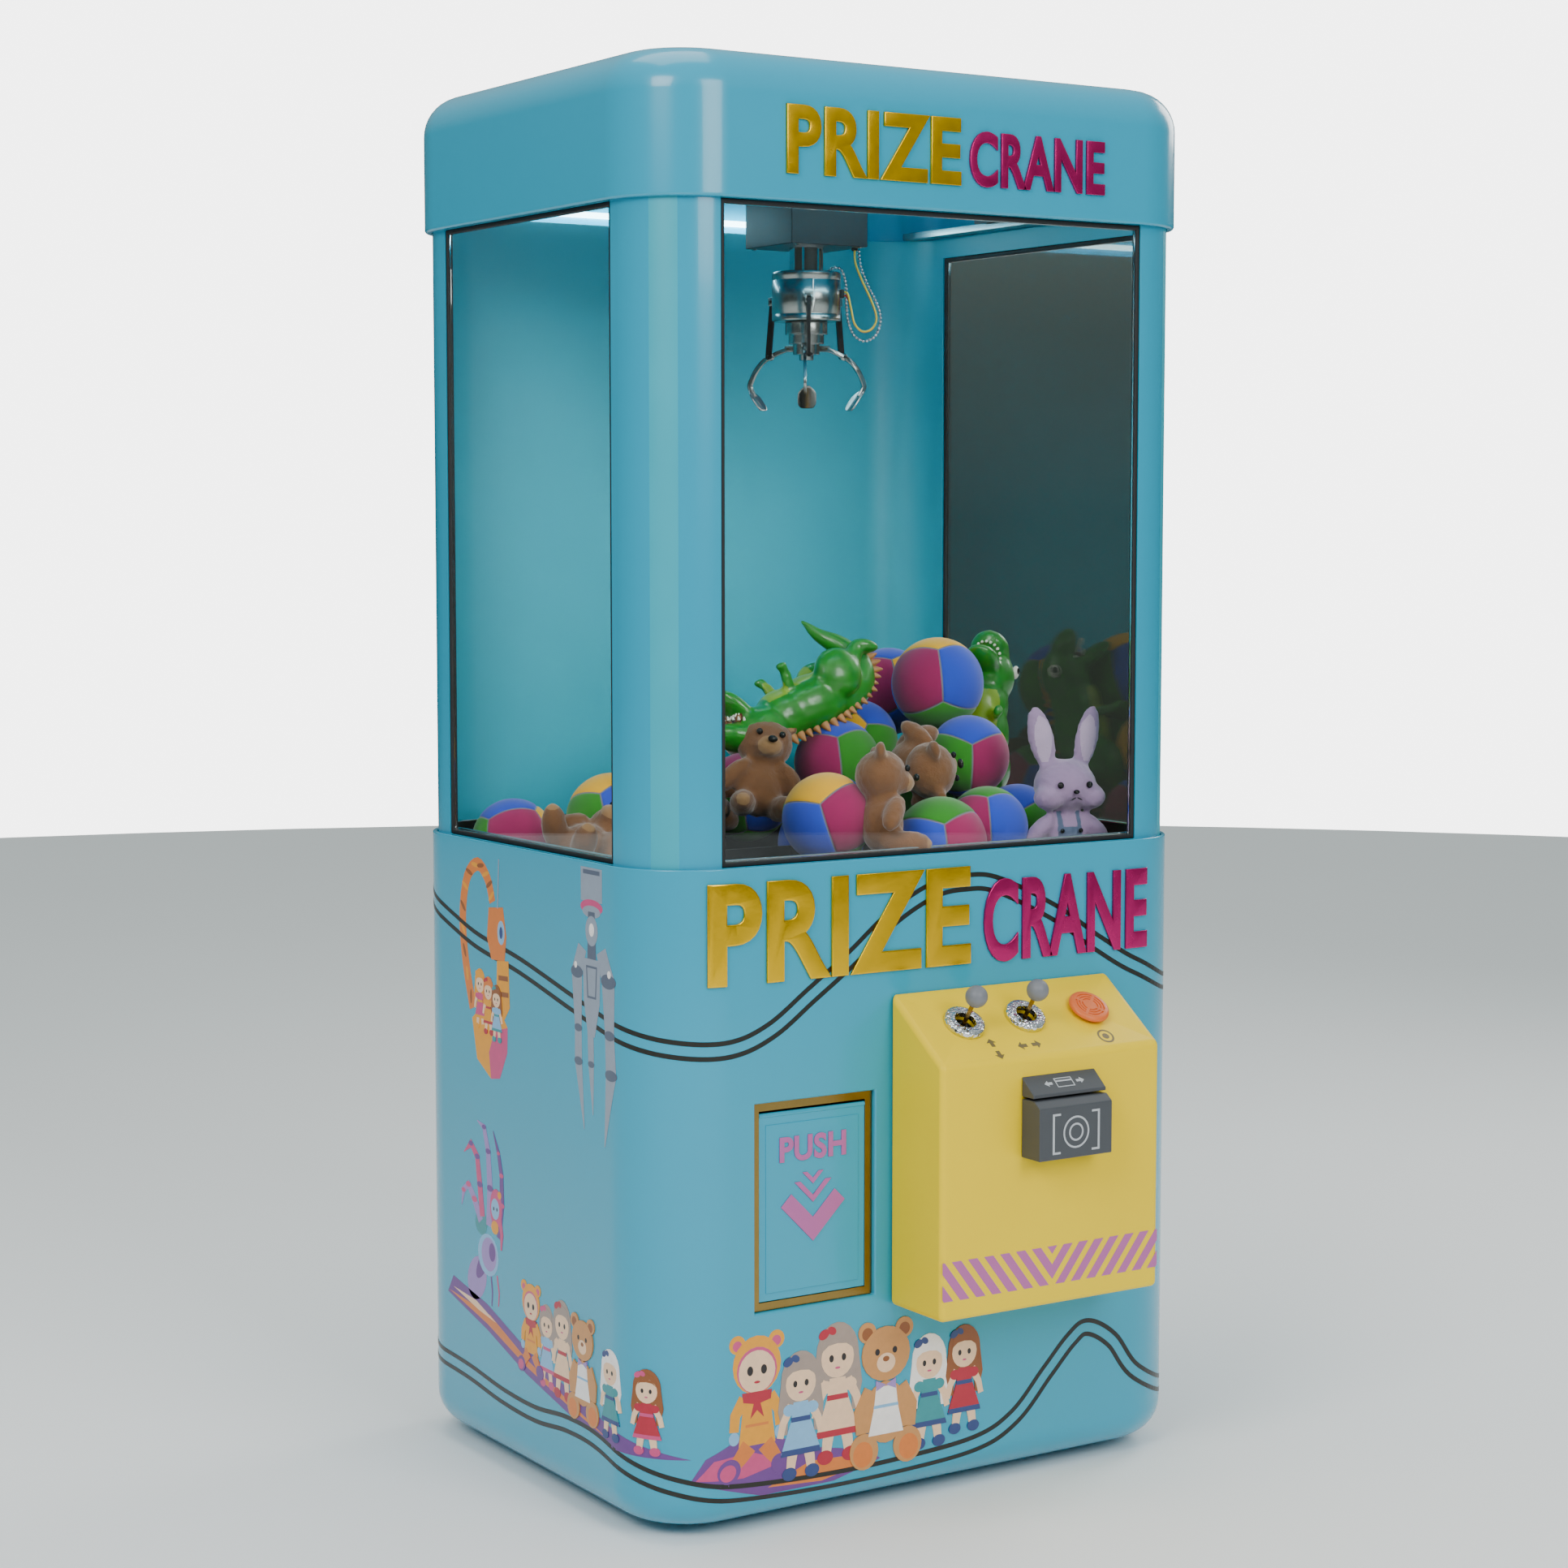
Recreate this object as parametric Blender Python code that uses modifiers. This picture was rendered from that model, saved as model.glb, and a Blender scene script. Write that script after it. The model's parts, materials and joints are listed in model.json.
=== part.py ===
"""Claw crane machine: cabinet, header gantry, telescoping hoist, three-finger claw and controls.

Metres, +Z up, front towards -Y.  The cabinet is drawn around its own centre with the underside
of the base shell at z = 0, and hangs from the empty "machine", which lifts it onto its levelling
feet and moves it back so that the footprint of the whole machine is centred on the origin.
"""
import math

import bmesh
import bpy
from mathutils import Matrix, Vector

# ---------------------------------------------------------------- driving dimensions
GAP = 0.0003                 # between pieces that touch
FOOT_HEIGHT = 0.015          # underside of the base above the floor
CABINET_Y = 0.07435          # cabinet centre behind the origin

BASE_X, BASE_Y, BASE_TOP = 0.4453, 0.3559, 0.8652      # half width, half depth, height
BASE_CORNER, BASE_FILLET, BASE_WALL = 0.115, 0.050, 0.010

CABIN_X, CABIN_Y = 0.4348, 0.3454
CABIN_CORNER, CABIN_WALL = 0.096, 0.015
CABIN_TONGUE = 0.030         # depth of the frame inside the base and inside the header
SOCKET_CORNER = 0.0952       # inner corners of base and header, which take the frame's ends

HEADER_X, HEADER_Y = 0.4477, 0.3583
HEADER_BOTTOM, TOP = 1.7112, 1.900
HEADER_CORNER, HEADER_FILLET, HEADER_WALL = 0.115, 0.056, 0.0124

WINDOW_X, WINDOW_Y = 0.3382, 0.2338     # half openings, front and sides
GASKET_WIDTH, GASKET_DEPTH, GASKET_INSET = 0.006, 0.012, 0.001
GLASS_THICK = 0.005

TRAY_FLOOR, TRAY_TOP, TRAY_WALL = 0.760, 0.872, 0.003
CHUTE_LEFT, CHUTE_RIGHT = -0.315, -0.095
CHUTE_FRONT, CHUTE_REAR = -0.3180, -0.1300
CHUTE_FLOOR, CHUTE_TOP, CHUTE_WALL = 0.285, 0.862, 0.003
THROAT_TOP = 0.572

DOOR_X, DOOR_Z = -0.2020, 0.41875       # centre of the prize door
DOOR_WIDTH, DOOR_HEIGHT = 0.1890, 0.2755
DOOR_BAR, DOOR_FLANGE = 0.0115, 0.0115
DOOR_RECESS = 0.007                     # front of the frame behind the base's face
FLAP_THICK, FLAP_PLAY = 0.004, 0.0008
PIN_RADIUS, PIN_DROP = 0.0017, 0.0065

SERVICE_X, SERVICE_LOW, SERVICE_HIGH = 0.220, 0.120, 0.720
SERVICE_THICK = 0.008
LOCK_X, LOCK_Z = -0.195, 0.420

CONSOLE_X, CONSOLE_WIDTH, CONSOLE_DEPTH = 0.098, 0.364, 0.1187
CONSOLE_LOW, CONSOLE_FRONT_TOP, CONSOLE_BACK_TOP = 0.264, 0.602, 0.685
CONSOLE_WALL, CONSOLE_ROUND = 0.005, 0.008
STICK_LEFT_X, STICK_RIGHT_X, BUTTON_X = -0.007, 0.094, 0.2005

READER_X, READER_WIDTH, READER_DEPTH = 0.1055, 0.121, 0.0395
READER_LOW, READER_SLOT, READER_TOP = 0.470, 0.5485, 0.5775
SLOT_GAP = 0.003

RAIL_X, RAIL_HALF, RAIL_TOP = 0.390, 0.300, 1.7463
WHEEL_RADIUS, WHEEL_X, AXLE_RADIUS, AXLE_Y = 0.012, 0.398, 0.003, 0.083
BEAM_Y, BEAM_WIDTH, BEAM_LOW, BEAM_HIGH = 0.0715, 0.010, 1.757, 1.777
END_PLATE_X, END_PLATE_THICK, END_PLATE_Y = 0.380, 0.006, 0.095

TROLLEY_X = 0.0145                      # rest position of the trolley along the bridge
TROLLEY_WIDE, TROLLEY_DEEP = 0.127, 0.121
TROLLEY_LOW, TROLLEY_HIGH, TROLLEY_WALL = 1.690, 1.7813, 0.003

TUBE_OUTER, TUBE_MID, STEM_RADIUS = 0.0240, 0.0205, 0.0165
TUBE_LOW, TUBE_HIGH = 1.6575, 1.872
DRUM_RADIUS, DRUM_Y, DRUM_Z = 0.014, 0.045, 1.799

HEAD_RADIUS, HEAD_LOW, HEAD_HIGH = 0.0487, 1.5872, 1.6565
HEAD_BORE, HEAD_BORE_TOP = 0.031, 1.645
STRUT_R, STRUT_Z = 0.053, 1.6165        # upper pivot of each strut
ELBOW_R, ELBOW_Z = 0.060, 1.5395        # lower pivot, where the arm turns
PLAY = 0.0003                           # side play of the arm beside its strut
BAR = 0.005                             # thickness of strut and arm across the claw
ARM_ANGLES = (-122.5, -2.5, 117.5)

ROUND = 16                              # sides of a small round piece
WIDE_ROUND = 24                         # sides of a tube, a collar and the claw head
PRIZE_SIDES, PRIZE_RINGS = 8, 6

# ---------------------------------------------------------------- scene and helpers
for old in list(bpy.data.objects):
    bpy.data.objects.remove(old, do_unlink=True)

PARTS = bpy.data.collections.new("claw_crane_machine")
TOOLS = bpy.data.collections.new("cutters")
for group in (PARTS, TOOLS):
    bpy.context.scene.collection.children.link(group)


def finish(name, hex_colour, roughness, metallic=0.0, alpha=1.0):
    """A plain Principled material from an sRGB hex colour."""
    def linear(value):
        return value / 12.92 if value <= 0.04045 else ((value + 0.055) / 1.055) ** 2.4
    channels = [int(hex_colour[i:i + 2], 16) / 255 for i in (0, 2, 4)]
    colour = tuple(linear(c) for c in channels) + (1.0,)
    material = bpy.data.materials.new(name)
    material.use_nodes = True
    shader = material.node_tree.nodes["Principled BSDF"]
    shader.inputs["Base Color"].default_value = colour
    shader.inputs["Roughness"].default_value = roughness
    shader.inputs["Metallic"].default_value = metallic
    shader.inputs["Alpha"].default_value = alpha
    material.diffuse_color = colour
    return material


def anchor(name, location, rotation=(0, 0, 0), parent=None):
    """An empty that other pieces hang from."""
    empty = bpy.data.objects.new(name, None)
    empty.location = location
    empty.rotation_euler = rotation
    empty.parent = parent
    TOOLS.objects.link(empty)
    return empty


MACHINE = anchor("machine", (0, CABINET_Y, FOOT_HEIGHT))


def put(name, mesh, material, location=(0, 0, 0), parent=None):
    """Place a mesh as a part, or as a cutter when it has no material."""
    thing = bpy.data.objects.new(name, mesh)
    thing.location = location
    thing.parent = parent or MACHINE
    if material is None:
        thing.hide_render = True
        thing.display_type = "WIRE"
        TOOLS.objects.link(thing)
    else:
        mesh.materials.append(material)
        PARTS.objects.link(thing)
    return thing


def block(name, size, location, material=None, parent=None, corner=0.0, fillet=0.0,
          fillet_side=0, segments=6):
    """A box with rounded upright edges, and a fillet along its bottom (-1) or top (1)."""
    shape = bmesh.new()
    bmesh.ops.create_cube(shape, size=1.0)
    bmesh.ops.scale(shape, vec=size, verts=shape.verts)
    if corner:
        upright = [e for e in shape.edges if abs(e.verts[0].co.z - e.verts[1].co.z) > size[2] / 2]
        bmesh.ops.bevel(shape, geom=upright, offset=corner, segments=segments, profile=0.5,
                        affect="EDGES", clamp_overlap=False)
    if fillet:
        level = fillet_side * size[2] / 2
        rim = [e for e in shape.edges if all(abs(v.co.z - level) < 1e-6 for v in e.verts)]
        bmesh.ops.bevel(shape, geom=rim, offset=fillet, segments=4, profile=0.5,
                        affect="EDGES", clamp_overlap=False)
    mesh = bpy.data.meshes.new(name)
    shape.to_mesh(mesh)
    shape.free()
    return put(name, mesh, material, location, parent)


def span(low, high):
    """Centre and size of a box from its lowest and highest corners."""
    centre = tuple((a + b) / 2 for a, b in zip(low, high))
    size = tuple(b - a for a, b in zip(low, high))
    return size, centre


def box_between(name, low, high, material=None, parent=None, **extra):
    size, centre = span(low, high)
    return block(name, size, centre, material, parent, **extra)


AXIS_TURN = {"x": (0, math.pi / 2, 0), "y": (math.pi / 2, 0, 0), "z": (0, 0, 0)}


def rod(name, radius, length, location, axis="z", material=None, parent=None, sides=ROUND):
    """A plain cylinder along one axis."""
    shape = bmesh.new()
    bmesh.ops.create_cone(shape, cap_ends=True, segments=sides, radius1=radius, radius2=radius,
                          depth=length)
    turn = Matrix.Rotation(AXIS_TURN[axis][1], 4, "Y") @ Matrix.Rotation(AXIS_TURN[axis][0], 4, "X")
    bmesh.ops.transform(shape, matrix=turn, verts=shape.verts)
    mesh = bpy.data.meshes.new(name)
    shape.to_mesh(mesh)
    shape.free()
    return put(name, mesh, material, location, parent)


def turned(name, profile, location=(0, 0, 0), material=None, parent=None, sides=ROUND, ring=False):
    """A turned piece: the profile runs down its outer side, and back up inside for a ring."""
    edges = [(i, i + 1) for i in range(len(profile) - 1)]
    if ring:
        edges.append((len(profile) - 1, 0))
    mesh = bpy.data.meshes.new(name)
    mesh.from_pydata([(r, 0, z) for r, z in profile], edges, [])
    thing = put(name, mesh, material, location, parent)
    screw = thing.modifiers.new("turn", "SCREW")
    screw.axis = "Z"
    screw.angle = 2 * math.pi
    screw.steps = sides
    screw.render_steps = sides
    screw.use_merge_vertices = True
    screw.merge_threshold = 0.00001
    screw.use_smooth_shade = True
    return thing


def tube_profile(outer, inner, low, high):
    return [(outer, high), (outer, low), (inner, low), (inner, high)]


PLANES = {
    "yz": Matrix(((0, 0, 1), (1, 0, 0), (0, 1, 0))).to_4x4(),
    "xz": Matrix.Rotation(math.pi / 2, 4, "X"),
    "xy": Matrix.Identity(4),
}


def outline(name, points, thickness, plane, location=(0, 0, 0), material=None, parent=None):
    """A flat outline, extruded evenly about its own plane."""
    curve = bpy.data.curves.new(name, "CURVE")
    curve.dimensions = "2D"
    curve.fill_mode = "BOTH"
    curve.extrude = thickness / 2
    spline = curve.splines.new("POLY")
    spline.points.add(len(points) - 1)
    for point, (u, v) in zip(spline.points, points):
        point.co = (u, v, 0, 1)
    spline.use_cyclic_u = True
    return curve_to_mesh(name, curve, PLANES[plane], location, material, parent)


def curve_to_mesh(name, curve, matrix, location, material, parent):
    """A curve made a welded mesh, so that it can be cut and joined."""
    guide = bpy.data.objects.new(name + "_guide", curve)
    TOOLS.objects.link(guide)
    bpy.context.view_layer.update()
    seen = guide.evaluated_get(bpy.context.evaluated_depsgraph_get())
    mesh = bpy.data.meshes.new_from_object(seen)
    bpy.data.objects.remove(guide, do_unlink=True)
    shape = bmesh.new()
    shape.from_mesh(mesh)
    bmesh.ops.remove_doubles(shape, verts=shape.verts, dist=0.00001)
    bmesh.ops.transform(shape, matrix=matrix, verts=shape.verts)
    shape.to_mesh(mesh)
    shape.free()
    mesh.materials.clear()
    return put(name, mesh, material, location, parent)


def capsule_points(start, end, radius, steps=5):
    """Outline of a bar with round ends between two pivots."""
    along = Vector(end) - Vector(start)
    heading = math.atan2(along.y, along.x)
    points = []
    for centre, first in ((end, heading - math.pi / 2), (start, heading + math.pi / 2)):
        for i in range(steps + 1):
            angle = first + math.pi * i / steps
            points.append((centre[0] + radius * math.cos(angle), centre[1] + radius * math.sin(angle)))
    return points


def cut(thing, *cutters):
    for cutter in cutters:
        boolean(thing, cutter, "DIFFERENCE")


def weld(thing, *additions):
    for addition in additions:
        boolean(thing, addition, "UNION")


def boolean(thing, tool, operation):
    step = thing.modifiers.new(tool.name, "BOOLEAN")
    step.operation = operation
    step.solver = "EXACT"
    step.object = tool


def cord(name, points, diameter, material, parent=None, steps=6):
    """A round wire through its route points, read from one smooth curve."""
    curve = bpy.data.curves.new(name, "CURVE")
    curve.dimensions = "3D"
    curve.bevel_depth = diameter / 2
    curve.bevel_resolution = 2
    curve.use_fill_caps = True
    dense = smooth_route(points, steps)
    spline = curve.splines.new("POLY")
    spline.points.add(len(dense) - 1)
    for point, place in zip(spline.points, dense):
        point.co = (*place, 1)
    return curve_to_mesh(name, curve, Matrix.Identity(4), (0, 0, 0), material, parent)


def smooth_route(points, steps):
    """Catmull-Rom points through a route."""
    route = [Vector(p) for p in points]
    ends = [route[0] * 2 - route[1]] + route + [route[-1] * 2 - route[-2]]
    dense = []
    for a, b, c, d in zip(ends, ends[1:], ends[2:], ends[3:]):
        for i in range(steps):
            t = i / steps
            dense.append(0.5 * (2 * b + (c - a) * t + (2 * a - 5 * b + 4 * c - d) * t * t
                                + (3 * b - a - 3 * c + d) * t ** 3))
    return dense + [route[-1]]


# ---------------------------------------------------------------- finishes
TEAL = finish("teal_gloss_enamel", "4F9FB3", 0.25)
GLASS = finish("clear_glass", "DCEBEC", 0.05, alpha=0.25)
RUBBER = finish("black_rubber", "17181A", 0.60)
BLACK_STEEL = finish("black_tray_steel", "24262A", 0.40, 0.3)
CHROME = finish("chrome", "C9CCD0", 0.12, 1.0)
BRUSHED = finish("brushed_nickel", "9FA3A4", 0.30, 1.0)
DARK_STEEL = finish("dark_steel", "3A3B3E", 0.38, 0.9)
BRASS = finish("brass", "B08D45", 0.25, 1.0)
YELLOW = finish("yellow_gloss_plastic", "EDD900", 0.30)
GREY_BALL = finish("grey_ball_plastic", "7B7C82", 0.45)
ORANGE = finish("orange_button_plastic", "E0763A", 0.35)
GREY_PLASTIC = finish("dark_grey_plastic", "44474D", 0.45)
BLACK_PLASTIC = finish("black_plastic", "1C1D20", 0.50)
RED_WIRE = finish("red_wire", "B8202A", 0.40)
YELLOW_WIRE = finish("yellow_wire", "D8C22A", 0.40)
GREEN_BOARD = finish("green_circuit_enclosure", "2E5B3A", 0.50)
PLUSH = finish("soft_prizes", "8B6239", 0.95)


# ---------------------------------------------------------------- cabinet
def make_base():
    size, centre = span((-BASE_X, -BASE_Y, 0), (BASE_X, BASE_Y, BASE_TOP))
    base = block("base_cabinet", size, centre, TEAL, corner=BASE_CORNER, fillet=BASE_FILLET,
                 fillet_side=-1)
    inner_x, inner_y = BASE_X - BASE_WALL, BASE_Y - BASE_WALL
    hollow = box_between("base_hollow", (-inner_x, -inner_y, BASE_WALL),
                         (inner_x, inner_y, BASE_TOP + BASE_WALL), corner=SOCKET_CORNER,
                         fillet=BASE_FILLET - BASE_WALL, fillet_side=-1)
    doorway = block("door_cut", (DOOR_WIDTH, 4 * BASE_WALL, DOOR_HEIGHT), (DOOR_X, -BASE_Y, DOOR_Z))
    service = box_between("service_cut", (-SERVICE_X, BASE_Y - 2 * BASE_WALL, SERVICE_LOW),
                          (SERVICE_X, BASE_Y + BASE_WALL, SERVICE_HIGH))
    loom = rod("loom_cut", 0.020, 4 * BASE_WALL, (CONSOLE_X, -BASE_Y, 0.45), "y")
    cut(base, hollow, doorway, service, loom)


def make_cabin():
    low, high = BASE_TOP - CABIN_TONGUE, HEADER_BOTTOM + CABIN_TONGUE
    size, centre = span((-CABIN_X, -CABIN_Y, low), (CABIN_X, CABIN_Y, high))
    cabin = block("cabin_frame", size, centre, TEAL, corner=CABIN_CORNER)
    inner_x, inner_y = CABIN_X - CABIN_WALL, CABIN_Y - CABIN_WALL
    hollow = box_between("cabin_hollow", (-inner_x, -inner_y, low - 0.01),
                         (inner_x, inner_y, high + 0.01), corner=CABIN_CORNER - CABIN_WALL)
    front = box_between("front_window_cut", (-WINDOW_X, -CABIN_Y - 0.01, BASE_TOP),
                        (WINDOW_X, -inner_y + 0.01, HEADER_BOTTOM))
    sides = box_between("side_window_cut", (-CABIN_X - 0.01, -WINDOW_Y, BASE_TOP),
                        (CABIN_X + 0.01, WINDOW_Y, HEADER_BOTTOM))
    cut(cabin, hollow, front, sides)


def make_header():
    size, centre = span((-HEADER_X, -HEADER_Y, HEADER_BOTTOM), (HEADER_X, HEADER_Y, TOP))
    header = block("header_shell", size, centre, TEAL, corner=HEADER_CORNER, fillet=HEADER_FILLET,
                   fillet_side=1)
    inner_x, inner_y = HEADER_X - HEADER_WALL, HEADER_Y - HEADER_WALL
    hollow = box_between("header_hollow", (-inner_x, -inner_y, HEADER_BOTTOM - 0.01),
                         (inner_x, inner_y, TOP - HEADER_WALL), corner=SOCKET_CORNER,
                         fillet=HEADER_FILLET - HEADER_WALL, fillet_side=1)
    cut(header, hollow)


def make_window(side):
    """Glass and its rubber gasket; side is "front", "left" or "right"."""
    half = WINDOW_X if side == "front" else WINDOW_Y
    low, high = BASE_TOP + GAP, HEADER_BOTTOM - GAP
    middle, tall = (low + high) / 2, high - low
    wide = 2 * (half - GAP)
    face = (CABIN_Y if side == "front" else CABIN_X) - GASKET_INSET - GASKET_DEPTH / 2
    place = {"front": (0, -face, middle), "left": (-face, 0, middle), "right": (face, 0, middle)}[side]

    def sized(width, depth, height):
        return (width, depth, height) if side == "front" else (depth, width, height)

    gasket = block(side + "_gasket", sized(wide, GASKET_DEPTH, tall), place, RUBBER)
    inner = block(side + "_gasket_cut", sized(wide - 2 * GASKET_WIDTH, 2 * GASKET_DEPTH,
                                              tall - 2 * GASKET_WIDTH), place)
    cut(gasket, inner)
    edge = 2 * (GASKET_WIDTH + GAP)
    block(side + "_glass", sized(wide - edge, GLASS_THICK, tall - edge), place, GLASS)


def make_tray_and_chute():
    outer_x = CABIN_X - CABIN_WALL - 2 * GAP
    outer_y = CABIN_Y - CABIN_WALL - 2 * GAP
    corner = CABIN_CORNER - CABIN_WALL
    tray = box_between("playfield_tray", (-outer_x, -outer_y, TRAY_FLOOR - TRAY_WALL),
                       (outer_x, outer_y, TRAY_TOP), BLACK_STEEL, corner=corner)
    hollow = box_between("tray_hollow", (TRAY_WALL - outer_x, TRAY_WALL - outer_y, TRAY_FLOOR),
                         (outer_x - TRAY_WALL, outer_y - TRAY_WALL, TRAY_TOP + 0.01),
                         corner=corner - TRAY_WALL)
    drop = box_between("tray_drop_cut", (CHUTE_LEFT - 2 * GAP, CHUTE_FRONT - GAP, TRAY_FLOOR - 0.02),
                       (CHUTE_RIGHT + 2 * GAP, CHUTE_REAR + 2 * GAP, TRAY_FLOOR + 0.01))
    cut(tray, hollow, drop)

    chute = box_between("prize_chute", (CHUTE_LEFT, CHUTE_FRONT, CHUTE_FLOOR - CHUTE_WALL),
                        (CHUTE_RIGHT, CHUTE_REAR, CHUTE_TOP), BLACK_STEEL)
    throat_front = -(BASE_Y - BASE_WALL) + 0.0036
    throat = box_between("chute_throat", (CHUTE_LEFT, throat_front, CHUTE_FLOOR - CHUTE_WALL),
                         (CHUTE_RIGHT, CHUTE_FRONT + 0.02, THROAT_TOP))
    shaft = box_between("chute_shaft_cut",
                        (CHUTE_LEFT + CHUTE_WALL, CHUTE_FRONT + CHUTE_WALL, CHUTE_FLOOR),
                        (CHUTE_RIGHT - CHUTE_WALL, CHUTE_REAR - CHUTE_WALL, CHUTE_TOP + 0.01))
    mouth = box_between("chute_mouth_cut",
                        (CHUTE_LEFT + CHUTE_WALL, throat_front - 0.01, CHUTE_FLOOR),
                        (CHUTE_RIGHT - CHUTE_WALL, CHUTE_FRONT + 0.03, THROAT_TOP - CHUTE_WALL))
    weld(chute, throat)
    cut(chute, shaft, mouth)


def make_feet():
    """Levelling feet: a rubber pad under a threaded stud."""
    profile = [(0, 0), (0.006, 0), (0.006, -0.006), (0.016, -0.008), (0.020, -0.010),
               (0.020, -FOOT_HEIGHT + GAP), (0, -FOOT_HEIGHT + GAP)]
    for side, x in (("left", -0.33), ("right", 0.33)):
        for end, y in (("front", -0.25), ("rear", 0.25)):
            turned(f"foot_{end}_{side}", profile, (x, y, -GAP), RUBBER)


# ---------------------------------------------------------------- prize door
def make_prize_door():
    front = -BASE_Y + DOOR_RECESS
    back = -(BASE_Y - BASE_WALL) + 0.003
    flange_front = -(BASE_Y - BASE_WALL) + GAP
    wide, tall = DOOR_WIDTH - 2 * GAP, DOOR_HEIGHT - 2 * GAP
    frame = block("door_frame", (wide, back - front, tall), (DOOR_X, (front + back) / 2, DOOR_Z), BRASS)
    flange = block("door_flange", (wide + 2 * DOOR_FLANGE, back - flange_front, tall + 2 * DOOR_FLANGE),
                   (DOOR_X, (flange_front + back) / 2, DOOR_Z))
    clear_wide, clear_tall = DOOR_WIDTH - 2 * DOOR_BAR, DOOR_HEIGHT - 2 * DOOR_BAR
    opening = block("door_frame_cut", (clear_wide, 0.05, clear_tall), (DOOR_X, front, DOOR_Z))
    weld(frame, flange)

    pin_z = DOOR_Z + clear_tall / 2 - PIN_DROP
    pin_y = front + 0.0031
    rod("door_hinge_pin", PIN_RADIUS, clear_wide + 0.010, (DOOR_X, pin_y, pin_z), "x",
        DARK_STEEL, sides=12)
    pin_hole = rod("pin_hole_cut", PIN_RADIUS + GAP, clear_wide + 0.0112, (DOOR_X, pin_y, pin_z), "x",
                   sides=12)
    cut(frame, opening, pin_hole)

    hinge = anchor("door_hinge", (DOOR_X, pin_y, pin_z), parent=MACHINE)
    low = DOOR_Z - clear_tall / 2 + FLAP_PLAY - pin_z
    half = clear_wide / 2 - FLAP_PLAY / 2
    flap = box_between("door_flap", (-half, -FLAP_THICK / 2, low), (half, FLAP_THICK / 2, 0),
                       TEAL, hinge)
    barrel = rod("flap_barrel", 0.0034, 2 * half, (0, 0, 0), "x", parent=hinge, sides=12)
    bore = rod("flap_bore_cut", PIN_RADIUS + GAP, 2 * half + 0.01, (0, 0, 0), "x", parent=hinge,
               sides=12)
    weld(flap, barrel)
    cut(flap, bore)


def make_service_door():
    hinge_y = BASE_Y + 0.0053
    hinge = anchor("service_hinge", (SERVICE_X + 0.0015, hinge_y, 0), parent=MACHINE)
    skin = BASE_Y - 0.0004 - hinge_y
    play = 0.0005
    door = box_between("service_door", (-2 * SERVICE_X - 0.0015 + play, skin - SERVICE_THICK,
                                        SERVICE_LOW + play),
                       (-0.0015 - play, skin, SERVICE_HIGH - play), TEAL, hinge)
    leaf = box_between("service_leaf", (-0.022, skin - 0.001, SERVICE_LOW + 0.035),
                       (-0.003, 0.0007, SERVICE_HIGH - 0.035), parent=hinge)
    wrap = box_between("service_wrap", (-0.010, -0.0038, SERVICE_LOW + 0.036),
                       (0.001, 0.0012, SERVICE_HIGH - 0.036), parent=hinge)
    barrel = rod("service_barrel", 0.0045, SERVICE_HIGH - SERVICE_LOW - 0.06,
                 (0, 0, (SERVICE_LOW + SERVICE_HIGH) / 2), parent=hinge)
    keyhole = rod("lock_cut", 0.0085, 0.04, (LOCK_X - SERVICE_X - 0.0015, skin, LOCK_Z), "y",
                  parent=hinge)
    weld(door, leaf, wrap, barrel)
    cut(door, keyhole)

    turn = anchor("lock_axis", (LOCK_X, BASE_Y, LOCK_Z), parent=MACHINE)
    lock = rod("service_lock", 0.011, 0.004, (0, 0.002, 0), "y", DARK_STEEL, turn)
    shank = rod("lock_shank", 0.008, 0.018, (0, -0.007, 0), "y", parent=turn)
    cam = box_between("lock_cam", (-0.007, -0.0175, -0.045), (0.007, -0.0135, 0.007), parent=turn)
    weld(lock, shank, cam)


def make_control_unit():
    """Power supply and controller box on the inner right wall of the base."""
    wall = BASE_X - BASE_WALL - GAP
    box_between("control_unit", (wall - 0.060, -0.08, 0.30), (wall, 0.14, 0.56), GREEN_BOARD)


# ---------------------------------------------------------------- console
SLOPE = math.atan2(CONSOLE_BACK_TOP - CONSOLE_FRONT_TOP, CONSOLE_DEPTH)
PANEL = anchor("control_panel", (0, -BASE_Y - CONSOLE_DEPTH / 2,
                                 (CONSOLE_BACK_TOP + CONSOLE_FRONT_TOP) / 2), (SLOPE, 0, 0), MACHINE)


def sloped_box(name, width, back, front, low, back_top, front_top, material=None):
    """A box whose top falls from back to front."""
    points = [(back, low), (back, back_top), (front, front_top), (front, low)]
    return outline(name, points, width, "yz", (CONSOLE_X, 0, 0), material)


def make_console():
    back, front = -BASE_Y - GAP, -BASE_Y - CONSOLE_DEPTH
    console = sloped_box("control_console", CONSOLE_WIDTH, back, front, CONSOLE_LOW,
                         CONSOLE_BACK_TOP, CONSOLE_FRONT_TOP, YELLOW)
    soften = console.modifiers.new("rounded_edges", "BEVEL")
    soften.width = CONSOLE_ROUND
    soften.segments = 2
    drop = CONSOLE_WALL / math.cos(SLOPE)
    inner_front = front + CONSOLE_WALL
    rise = math.tan(SLOPE)
    hollow = sloped_box("console_hollow", CONSOLE_WIDTH - 2 * CONSOLE_WALL, back + 0.02, inner_front,
                        CONSOLE_LOW + CONSOLE_WALL, CONSOLE_BACK_TOP - drop + 0.02 * rise,
                        CONSOLE_FRONT_TOP - drop + CONSOLE_WALL * rise)
    holes = [rod(f"panel_hole_{i}", radius, 0.05, (x, 0, 0), parent=PANEL)
             for i, (x, radius) in enumerate(((STICK_LEFT_X, 0.015), (STICK_RIGHT_X, 0.015),
                                              (BUTTON_X, 0.0168)))]
    cut(console, hollow, *holes)


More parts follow.
